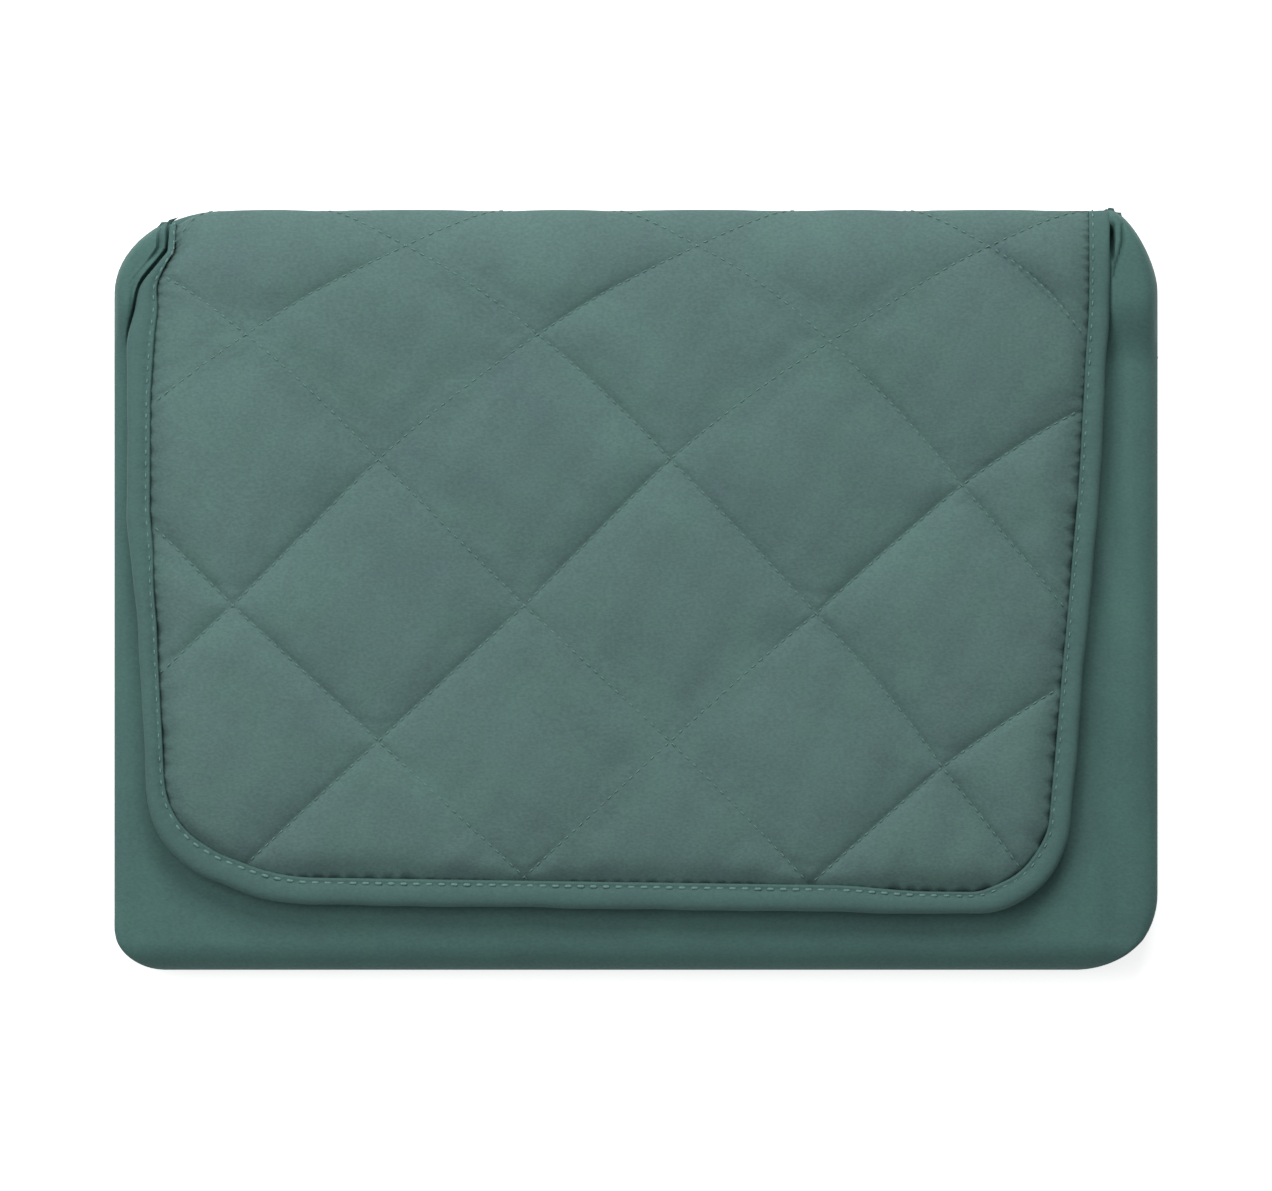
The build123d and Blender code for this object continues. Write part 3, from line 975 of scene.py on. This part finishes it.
def binding_stitches():
    seam_depth = topstitch_depth * binding_share[:, None]
    run = evenly(flap_edge + seam_depth * flap_inward, fine_spacing, closed=False)
    into = inward(run)
    low = smooth(np.abs(into[:, 1]), 0.2, 0.8) * (1 - smooth(run[:, 0], 85, 108))
    pitch = topstitch_pitch + 0.25 * low
    count = np.cumsum(fine_spacing / pitch)
    at = np.searchsorted(count, np.arange(1, int(count[-1])))
    run = run[at]
    into = into[at]
    sizes = np.column_stack([1.5 + 0.8 * low[at], 0.65 + 0.5 * low[at], 0.5 + 0.2 * low[at]])
    ways = np.stack([into[:, 1], -into[:, 0]], 1)

    def above(places):
        lift = 1 - 0.8 * roll_share(places[:, 1])
        dip = corner_dip(places[:, 0], places[:, 1])
        return over_flap(places[:, 0], places[:, 1], -2.95 * lift - dip)

    def below(places):
        return over_flap(places[:, 0], places[:, 1], np.full(len(places), -8.25))

    centres, ahead, up = on_surface(above, run, ways, 0.1)
    top = stitches("binding_topstitch", centres, ahead, up, sizes, pale_thread)
    centres, ahead, up = on_surface(below, run, ways, 0)
    under = stitches("binding_understitch", centres, ahead, -up, sizes, pale_thread)
    for piece in (top, under):
        on_flap(piece)
    return [top, under]


def strip_rows(outline, levels, columns):
    """Points in rows across a closed outline, as X and level arrays."""
    low, high = sides_at(outline, levels)
    share = np.linspace(0, 1, columns)
    x = low[:, None] + (high - low)[:, None] * share[None, :]
    return x, np.repeat(levels[:, None], columns, axis=1)


def flap_levels(depth):
    lowest = flap_inset(depth)[:, 1].min()
    start = lowest + 0.05 + 30 * (1 - np.cos(np.linspace(0, math.pi / 2, 14)))
    middle = np.arange(start[-1] + 4, turn_start, 4.0)
    roll = np.linspace(turn_start, strip_end, 44)
    return np.concatenate([start, middle, roll])


def flap_backing():
    """The flap's plain reverse, which comes down to the top fold's hinge."""
    x, v = strip_rows(flap_inset(2.6), flap_levels(2.6), 70)
    height = flap_backing_height - 1.4 * smooth(v, turn_start - 2, turn_start + 10)
    points = over_flap(x, v, height).reshape(-1, 3)
    piece = make_piece("flap_plain_backing", points, grid_faces(*x.shape), backing_cloth)
    thicken(piece, plain_thickness)
    on_flap(piece)
    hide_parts("flap_backing", "top_fold_backing")
    return piece


def flap_film():
    x, v = strip_rows(flap_inset(3.4), flap_levels(3.4), 70)
    rows = v[:, 0] < roll_stop
    x, v = x[rows], v[rows]
    points = over_flap(x, v, np.full(x.shape, flap_film_height)).reshape(-1, 3)
    piece = make_piece("flap_waterproof_film", points, grid_faces(*x.shape), film_plastic)
    thicken(piece, film_thickness)
    on_flap(piece)
    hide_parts("flap_film", "top_fold_film")
    return piece


def slab_faces(rows, columns):
    """Faces of a closed slab: a top sheet, a bottom sheet and the sides between them."""
    top = grid_faces(rows, columns)
    bottom = top[:, ::-1] + rows * columns
    ring = [j for j in range(columns)]
    ring += [i * columns + columns - 1 for i in range(1, rows)]
    ring += [(rows - 1) * columns + j for j in range(columns - 2, -1, -1)]
    ring += [i * columns for i in range(rows - 2, 0, -1)]
    ring = np.array(ring)
    after = np.roll(ring, -1)
    lower = rows * columns
    sides = np.stack([ring, ring + lower, after + lower, after], 1)
    return np.vstack([top, bottom, sides])


def flap_filling_part(x, v):
    """One padded slab of the flap, between its face and its film."""
    places = np.column_stack([x.ravel(), v.ravel()])
    depth = nearest(places, flap_edge)[0].reshape(x.shape)
    upper = flap_rest_height(places).reshape(x.shape) - 1.3
    upper = np.where(depth < 8.5, upper - 0.4, upper)
    upper = upper - 0.8 * np.clip(9 - depth, 0, 4) - 2.6 * tuck_share(x, v)
    lower = np.full(x.shape, flap_filling_bottom)
    upper = np.maximum(upper, lower + 0.3)
    return np.vstack([over_flap(x, v, upper).reshape(-1, 3), over_flap(x, v, lower).reshape(-1, 3)])


def flap_filling():
    x, v = strip_rows(flap_inset(4.5), flap_levels(4.5), 80)
    parts = []
    for rows in (v[:, 0] < roll_stop, v[:, 0] > roll_restart):
        parts.append((flap_filling_part(x[rows], v[rows]), slab_faces(*x[rows].shape)))
    piece = make_piece("flap_filling", *joined(parts), filling_cloth)
    on_flap(piece)
    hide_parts("flap_wadding", "top_fold_wadding")
    return piece


# ---- The base: plain cloth, film, filling and quilted faces --------------------------------------
def base_levels(depth=0.0):
    """Levels along the base strip, from the back panel's far edge to the centre panel's end."""
    back = np.linspace(base_quarter + 1, base_far - depth, 100)
    centre = np.linspace(base_quarter + 1, base_end, 96)
    roll = np.linspace(-base_quarter, base_quarter, 45)
    return np.concatenate([-back[::-1], roll, centre])


def rim_depths(level, side, wanted):
    """How far across from one side the outline is each wanted distance away, at one level of Y."""
    reach = np.linspace(0, 44, 300)
    x = side[0] + side[1] * reach
    gap = nearest(np.column_stack([x, np.full(len(x), level)]), fine_outline)[0]
    gap = np.maximum.accumulate(gap)
    return np.interp(wanted, gap, reach)


def base_margins(levels, depths):
    """Where each depth in from the pad's edge comes, from the left and from the right, at each level."""
    plan = over_base(levels * 0, levels, levels * 0)[:, 1]
    low, high = sides_at(base_outline, np.clip(plan, near + 0.02, far - 0.02))
    low_stretch = np.sqrt(1 + np.clip(np.gradient(low, levels), -1.6, 1.6) ** 2)
    high_stretch = np.sqrt(1 + np.clip(np.gradient(high, levels), -1.6, 1.6) ** 2)
    first = low[:, None] + depths[None, :] * low_stretch[:, None]
    last = high[:, None] - depths[None, :] * high_stretch[:, None]
    for row in np.nonzero(plan > turn_start - 1)[0]:
        first[row] = low[row] + rim_depths(plan[row], (low[row], 1), depths)
        last[row] = high[row] - rim_depths(plan[row], (high[row], -1), depths)
    return first, last


def edge_profile(radius):
    """The rolled edge with its turned hem: depth in from the side, and depth below the plain side."""
    angle = np.radians(np.linspace(0, 90, 8))
    fall = [(radius * (1 - math.sin(a)), -panel + radius * (1 - math.cos(a))) for a in angle]
    rise = [(depth, -panel - n) for depth, n in fall[::-1]]
    return np.array([(hem, -panel), (7.5, -panel), (6.0, -panel)] + fall + rise[1:])


def margin_wrinkles(x, y):
    """Soft wrinkles in the plain cloth where it shows round the flap."""
    on_right = smooth(x, right - 34, right - 20) * smooth(-x, -right, -right + 6)
    at_bottom = smooth(-y, -near - 20, -near - 8)
    on_left = smooth(-x, -left - 22, -left - 10)
    upright = 0.34 * on_right * ripple(x, y, 11, 0.08, 0.3)
    slanted = 0.36 * at_bottom * ripple(x, y, 24, 0.75, 1.2)
    thin = 0.25 * on_left * ripple(x, y, 13, -0.06, 2.4)
    broad = 0.25 * ripple(x, y, 60, 0.9, 0.6)
    crest = 2.6 * np.exp(-(((x - right + 7) / 6) ** 2)) * smooth(y, near + 22, near + 90)
    at_left, at_right = flap_sides(y)
    beside = smooth(at_left + 5 - x, 0, 6) + smooth(x - at_right + 5, 0, 6)
    corner = 6.3 * smooth(y, far - 48, far - 27) * np.clip(beside, 0, 1)
    return upright + slanted + thin + broad + crest + corner


def side_columns(count):
    """Shares across the top of the cloth, closer together near its sides."""
    even = np.linspace(-1, 1, count)
    return (0.5 + 0.5 * np.sin(even * math.pi / 2) * 0.55 + 0.225 * even)[1:-1]


def round_edge(depth):
    """How far the cloth falls at that depth from the pad's edge."""
    short = edge_round - np.clip(depth, 0, edge_round)
    return -edge_round + np.sqrt(np.maximum(edge_round**2 - short**2, 0))


def flap_side(run):
    """One side of the flap beyond the middle of the pad, as Y and X, in the order of Y."""
    plan = over_flap(run[:, 0], run[:, 1], run[:, 0] * 0)[:, 1]
    beyond = plan > 0
    order = np.argsort(plan[beyond])
    return plan[beyond][order], run[beyond, 0][order]


left_side = flap_side(flap_edge[: len(flap_edge) // 2][::-1])
right_side = flap_side(flap_edge[len(flap_edge) // 2 :])


def flap_sides(y):
    """The X of the flap's two sides at each Y beyond the middle of the pad."""
    return np.interp(y, *left_side), np.interp(y, *right_side)


def corner_folds(x, y):
    """The slot, strip and groove beside the flap at the two far corners."""
    at_left, at_right = flap_sides(y)
    out = np.where(x < 0, at_left - x, x - at_right)
    line = smooth(y, far - 42, far - 30) * (1 - smooth(out, 0.3, 1.0))
    left_slot = smooth(y, far - 18, far - 12) * (1 - smooth(out, 2.6, 3.6))
    right_slot = smooth(y, far - 17, far - 13) * (1 - smooth(y, far - 8, far - 4))
    right_slot = right_slot * (1 - smooth(out, 0.9, 1.5))
    slot = np.where(x < 0, -4.5 * line - 3.0 * left_slot, -0.5 * line - 5.5 * right_slot)
    groove_out = 0.4 + 2.8 * smooth(y, far - 24, far - 9)
    groove = smooth(y, far - 24, far - 20) * np.exp(-(((out - groove_out - 0.5) / 0.5) ** 2))
    crease_x = left + 5.0 + 0.12 * (y - far + 37.6)
    crease = smooth(y, far - 46, far - 38) * np.exp(-(((x - crease_x) / 0.65) ** 2))
    crease = crease * (1 - smooth(y, far - 13, far - 8))
    return (slot - 1.4 * groove * (x > 0) - 0.8 * crease * (x < 0)) * (out > -2)


def beside_flap(x, plan, rim):
    """Moves the cloth's top columns near the far corners into lines along the flap's sides."""
    at_left, at_right = flap_sides(plan)
    count = x.shape[1]
    half = count // 2
    share = smooth(plan, far - 52, far - 42)
    for row in np.nonzero(share.max(axis=1) > 0)[0]:
        sides = ((rim, at_left[row, half], 1), (count - 1 - rim, at_right[row, half], -1))
        for start, side, way in sides:
            edge = x[row, start]
            place = max(side * way, edge * way + 0.6) * way
            room = abs(place - edge)
            knots = (edge, place - way * min(4.2, 0.7 * room), place, place + way * 1.2, x[row, half])
            columns = np.arange(start, half, way)
            steps = np.abs(columns - start)
            wanted = np.interp(steps, (0, 8, 22, 25, len(columns)), knots)
            x[row, columns] += share[row, half] * (wanted - x[row, columns])
    return x


def plain_levels():
    """The plain cloth's rows: the back panel's turned hem, its outside, and on to the far corners."""
    close = np.array([0.0, 0.3, 0.8, 1.5, 2.4, 3.4, 4.5, 6.0, 7.5, hem])
    turned = -(base_far - close[:0:-1])
    outside = base_levels()
    outside = outside[outside > -(base_far - hem) + 0.5]
    corners = base_far - close[::-1]
    corners = corners[corners > base_end + 0.3]
    levels = np.concatenate([turned, -(base_far - close), outside, corners])
    inner = np.arange(len(levels)) < len(turned)
    return levels, inner


def plain_rows(levels, inner):
    """The plain cloth before it is shaped: X, the way along, the depth, and the rim's column.

    Each row goes down one rolled edge, across and up the other. The edges are tight at the bottom fold.
    """
    profile = edge_profile(edge_round)
    tight = edge_profile(tight_edge)
    fold = 1 - smooth(np.abs(levels), 9, base_quarter + 12)
    rim = int(np.argmin(profile[:, 0]))
    share = side_columns(172)
    first, last = base_margins(levels, profile[:, 0])
    close_first, close_last = base_margins(levels, tight[:, 0])
    first = first + (close_first - first) * fold[:, None]
    last = (last + (close_last - last) * fold[:, None])[:, ::-1]
    first[inner] = first[inner][:, rim : rim + 1]
    last[inner] = last[inner][:, -1 - rim : len(profile) - rim]
    turned_back = levels < -(base_far - hem) - 0.01
    first[turned_back, :rim] = first[turned_back, rim : rim + 1]
    last[turned_back, len(profile) - rim :] = last[turned_back, -1 - rim : len(profile) - rim]
    middle = first[:, -1:] + (last[:, :1] - first[:, -1:]) * share[None, :]
    x = np.hstack([first, middle, last])
    rounded_n = np.concatenate([profile[:, 1], np.zeros(len(share)), profile[::-1, 1]])
    tight_n = np.concatenate([tight[:, 1], np.zeros(len(share)), tight[::-1, 1]])
    n = rounded_n[None, :] + (tight_n - rounded_n)[None, :] * fold[:, None]
    n[inner] = -panel
    return x, np.repeat(levels[:, None], x.shape[1], axis=1), n, rim


def clear_of_flap(x, s, n, rim):
    """Lines the rows up with the flap's sides, and marks the part that would lie under the flap."""
    top = s > base_quarter
    plan = over_base(x, s, n)[:, :, 1]
    x = np.where(top, beside_flap(x.copy(), np.where(top, plan, near), rim), x)
    at_left, at_right = flap_sides(plan)
    under = (plan > centre_end + 0.1) & (s > 0) & (x > at_left + 0.3) & (x < at_right - 0.3)
    column = np.arange(x.shape[1])
    below = under & ((column <= rim) | (column >= len(column) - 1 - rim))
    x = np.where(below, np.where(x < 0, at_left + 0.4, at_right - 0.4), x)
    reach = base_far - far_shortfall(x)
    s = np.where(np.abs(x) < right - 1, np.clip(s, -reach, reach), s)
    return x, s, under, at_left, at_right


def rounded_far_end(x, s, n, rim):
    """Rounds the cloth's depth down to the pad's outline, near its far end."""
    plan = over_base(x, s, n)[:, :, 1]
    column = np.arange(x.shape[1])
    end = plan > far - 53
    gap = nearest(np.column_stack([x[end], plan[end]]), fine_outline)[0]
    fall = round_edge(np.maximum(gap - 0.16, 0))
    upper = (column >= rim) & (column < len(column) - rim) & (s > base_quarter)
    lower = np.maximum(n[end], -panel - fall)
    turned = np.where(n[end] > -edge_round, np.minimum(n[end], fall), lower)
    n[end] = np.where(upper[end], fall, turned)
    return n, plan


def plain_cloth():
    """The plain outer cloth: the back panel's, the bottom fold's and the centre panel's."""
    levels, inner = plain_levels()
    x, s, n, rim = plain_rows(levels, inner)
    x, s, under, at_left, at_right = clear_of_flap(x, s, n, rim)
    n, plan = rounded_far_end(x, s, n, rim)
    rise = smooth(s, base_quarter * 0.3, base_quarter + 6) * smooth(n, -edge_round, -0.4)
    n = n + rise * (margin_wrinkles(x, plan) + corner_folds(x, plan))
    at_hinge = smooth(plan, flap_hinge[1] - 14, flap_hinge[1] - 5) * (s > 0)
    at_hinge = at_hinge * smooth(x - at_left, 0, 4) * smooth(at_right - x, 0, 4)
    n = n + (flap_hinge[2] - 0.15 - centre_top) * at_hinge
    points = over_base(x, s, n).reshape(-1, 3)
    faces = grid_faces(*x.shape)
    row = faces[:, 0] // x.shape[1]
    kept = under.ravel()[faces].sum(axis=1) < 3
    first_row = int(np.argmin(np.abs(levels + base_quarter)))
    last_row = int(np.argmin(np.abs(levels - base_quarter)))
    back = plain_piece("back_plain_cloth", points, faces[kept & (row < first_row)])
    in_fold = kept & (row >= first_row) & (row < last_row)
    fold = plain_piece("bottom_fold_plain_cloth", points, faces[in_fold])
    centre = plain_piece("centre_plain_cloth", points, faces[kept & (row >= last_row)])
    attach(back, "back_panel")
    on_base(fold)
    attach(centre, "centre_panel")
    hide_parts("back_backing")
    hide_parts("bottom_fold_backing")
    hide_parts("centre_backing")
    return back, fold, centre


def plain_piece(name, points, faces):
    piece = make_piece(name, points, faces, backing_cloth)
    tidy_mesh(piece)
    thicken_now(piece, plain_thickness)
    return piece


def base_rows(depth, columns):
    levels = base_levels(depth)
    first, last = base_margins(levels, np.array([depth]))
    at_left, at_right = flap_sides(over_base(levels * 0, levels, levels * 0)[:, 1])
    narrow = smooth(levels, base_end - 34, base_end - 16)[:, None]
    first = first + narrow * np.maximum(at_left[:, None] + 5 - first, 0)
    last = last - narrow * np.maximum(last - at_right[:, None] + 5, 0)
    share = np.linspace(0, 1, columns)
    x = first + (last - first) * share[None, :]
    return x, np.repeat(levels[:, None], columns, axis=1)


def base_film():
    x, s = base_rows(3.2, 60)
    parts = []
    for rows in (s[:, 0] < -base_clear, s[:, 0] > base_clear):
        level = np.full(x[rows].shape, base_film_depth)
        parts.append((over_base(x[rows], s[rows], level).reshape(-1, 3), grid_faces(*level.shape)))
    piece = make_piece("base_waterproof_film", *joined(parts), film_plastic)
    thicken(piece, film_thickness)
    on_base(piece)
    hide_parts("back_film", "centre_film", "bottom_fold_film")
    return piece


def base_filling():
    x, s = base_rows(3.4, 70)
    parts = []
    for rows in (s[:, 0] < -base_clear, s[:, 0] > base_clear):
        level = np.full(x[rows].shape, base_filling_depth)
        upper = over_base(x[rows], s[rows], level).reshape(-1, 3)
        lower = over_base(x[rows], s[rows], level - filling_thickness).reshape(-1, 3)
        parts.append((np.vstack([upper, lower]), slab_faces(*level.shape)))
    piece = make_piece("base_filling", *joined(parts), filling_cloth)
    on_base(piece)
    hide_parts("back_wadding", "centre_wadding", "bottom_fold_wadding")
    return piece


def panel_outline(depth, end):
    """The quilted face of a base panel: the pad's outline inset, and ended at its folds."""
    along = np.roll(base_outline, -1, axis=0) - np.roll(base_outline, 1, axis=0)
    along /= np.linalg.norm(along, axis=1)[:, None]
    line = base_outline + depth * np.stack([-along[:, 1], along[:, 0]], 1)
    line[:, 1] = np.clip(line[:, 1], base_hinge[1] - 0.8, end)
    return evenly(line, line_spacing)


def turned_over(points):
    """The mirror image of the back panel's inside, which is the centre panel's."""
    return points * np.array([1, 1, -1]) + np.array([0, 0, 2 * base_hinge[2]])


def fold_lift(y):
    """How far the quilted face fills out where it crosses the bottom fold."""
    return 2.2 * np.exp(-(((y - base_hinge[1]) / 9) ** 2))


def panel_face(name, end, facing_down):
    points, faces, seam, rim, _ = quilt_grid(panel_outline(hem - 0.8, end), 20, True)
    moved, raised = puff(points, faces, seam | rim, 2.2)
    gap = nearest(points, points[seam])[0]
    pucker = 0.12 * np.exp(-gap / 3.5) * ripple(points[:, 0], points[:, 1], 5.5, 0.6, 1.0)
    height = panel - panel_face_depth + raised + pucker + fold_lift(points[:, 1])
    height = np.minimum(height, panel - 0.05)
    shaped = np.column_stack([moved, height])
    if facing_down:
        shaped = turned_over(shaped)
        faces = faces[:, ::-1]
    piece = make_piece(name, shaped, faces, face_cloth)
    crease_seams(piece, seam)
    soften(piece)
    thicken(piece, face_thickness)
    return piece


def panel_stitches(name, end, facing_down):
    places, ways = seam_lines(panel_outline(hem + 0.5, end), quilt_stitch_pitch, True)
    level = panel - panel_face_depth + 0.05 + 0.97 * fold_lift(places[:, 1])
    centres = np.column_stack([places, level])
    ahead = np.column_stack([ways, np.zeros(len(ways))])
    up = np.tile([0.0, 0.0, 1.0], (len(places), 1))
    if facing_down:
        centres = turned_over(centres)
        up = -up
    piece = stitches(name, centres, ahead, up, (1.3, 0.45, 0.35), seam_thread)
    return piece


def closure_patch(name, node, body, facing, material):
    """A patch of closure tape with rounded corners: a raised rim, a stitched channel and its middle.

    facing is 1 where its hooks or loops look up, and -1 where they look down.
    """
    low, high = np.array(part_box(node))
    size = high - low
    thickness = size[2]
    sewn_side = low[2] if facing > 0 else high[2]
    block = (patch_rim_height - patch_seat_height) * thickness
    seat = sewn_side + facing * (patch_seat_height * thickness + block / 2)
    place = ((low[0] + high[0]) / 2, (low[1] + high[1]) / 2, seat)
    bpy.ops.object.select_all(action="DESELECT")
    bpy.ops.mesh.primitive_cube_add(size=1, location=place, scale=(size[0], size[1], block))
    bpy.ops.object.transform_apply(location=True, rotation=True, scale=True)
    piece = bpy.context.active_object
    piece.name = name
    piece.data.name = name
    bpy.ops.object.mode_set(mode="EDIT")
    select_upright_edges(piece)
    bpy.ops.mesh.bevel(offset=patch_corner, segments=15, profile=0.5, affect="EDGES")
    select_end(piece, 2, facing)
    narrower = (1 - 2 * patch_slope / size[0], 1 - 2 * patch_slope / size[1], 1)
    bpy.ops.transform.resize(value=narrower, center_override=place)
    last_rise = facing * (1 - patch_rim_height) * thickness
    bpy.ops.mesh.extrude_region_move(TRANSFORM_OT_translate={"value": (0, 0, last_rise)})
    bpy.ops.mesh.inset(thickness=patch_rim_width, depth=-patch_channel_depth * thickness)
    bpy.ops.mesh.inset(thickness=patch_channel_width, depth=patch_channel_depth * thickness)
    bpy.ops.object.mode_set(mode="OBJECT")
    piece.data.materials.append(material)
    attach(piece, body)
    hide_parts(node)
    return piece


# ---- The room: floor, light and camera -----------------------------------------------------------
def floor():
    """A plain floor, just below the pad."""
    bpy.ops.object.select_all(action="DESELECT")
    bpy.ops.mesh.primitive_plane_add(size=6, location=(0, 0, -0.0006))
    bpy.ops.object.transform_apply(location=True, rotation=True, scale=True)
    piece = bpy.context.active_object
    piece.name = "floor"
    piece.data.materials.append(floor_material())


def soft_light(name, place, aim, size, power):
    data = bpy.data.lights.new(name, "AREA")
    data.shape = "RECTANGLE"
    data.size = size[0]
    data.size_y = size[1]
    data.energy = power
    lamp = bpy.data.objects.new(name, data)
    bpy.context.scene.collection.objects.link(lamp)
    lamp.location = place
    way = np.array(aim, float) - np.array(place, float)
    lamp.rotation_euler = aim_angles(way)


def aim_angles(way):
    flat = math.hypot(way[0], way[1])
    return (math.atan2(flat, -way[2]), 0, math.atan2(way[1], way[0]) - math.pi / 2)


def world_light(strength):
    world = bpy.data.worlds.new("studio")
    world.use_nodes = True
    bpy.context.scene.world = world
    back = world.node_tree.nodes["Background"]
    back.inputs["Color"].default_value = (1, 1, 1, 1)
    back.inputs["Strength"].default_value = strength


def camera():
    """Looks straight down from well above, through a long lens."""
    data = bpy.data.cameras.new("overhead")
    data.lens = 250
    data.sensor_width = 36
    eye = bpy.data.objects.new("overhead", data)
    bpy.context.scene.collection.objects.link(eye)
    eye.location = (0, -0.0017, 2.749)
    bpy.context.scene.camera = eye


# ---- Putting it together -------------------------------------------------------------------------
def build_flap():
    face = flap_face()
    thread = flap_quilting_stitches()
    tape = flap_binding()
    topstitch = binding_stitches()
    backing = flap_backing()
    film = flap_film()
    filling = flap_filling()


def build_base():
    back_cloth, fold_cloth, centre_cloth = plain_cloth()
    film = base_film()
    filling = base_filling()
    back = panel_face("back_quilted_face", far - hem + 0.8, False)
    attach(back, "back_panel")
    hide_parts("back_face", "bottom_fold_face")
    centre = panel_face("centre_quilted_face", centre_end, True)
    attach(centre, "centre_panel")
    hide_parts("centre_face")
    back_thread = panel_stitches("back_quilting_stitches", far - hem - 0.5, False)
    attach(back_thread, "back_panel")
    centre_thread = panel_stitches("centre_quilting_stitches", centre_end, True)
    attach(centre_thread, "centre_panel")
    closure_patch("loop_tape_patch", "loop_patch", "centre_panel", 1, loop_tape)
    closure_patch("hook_tape_patch", "hook_patch", "flap", -1, hook_tape)


build_flap()
build_base()
floor()
soft_light("key_light", place=(0.05, 1.05, 0.85), aim=(0, 0, 0), size=(0.8, 0.6), power=11)
soft_light("side_light", place=(-0.5, 0.15, 0.75), aim=(-0.1, 0, 0), size=(0.6, 0.6), power=3)
world_light(0.27)
bpy.context.scene.view_settings.view_transform = "Standard"
camera()
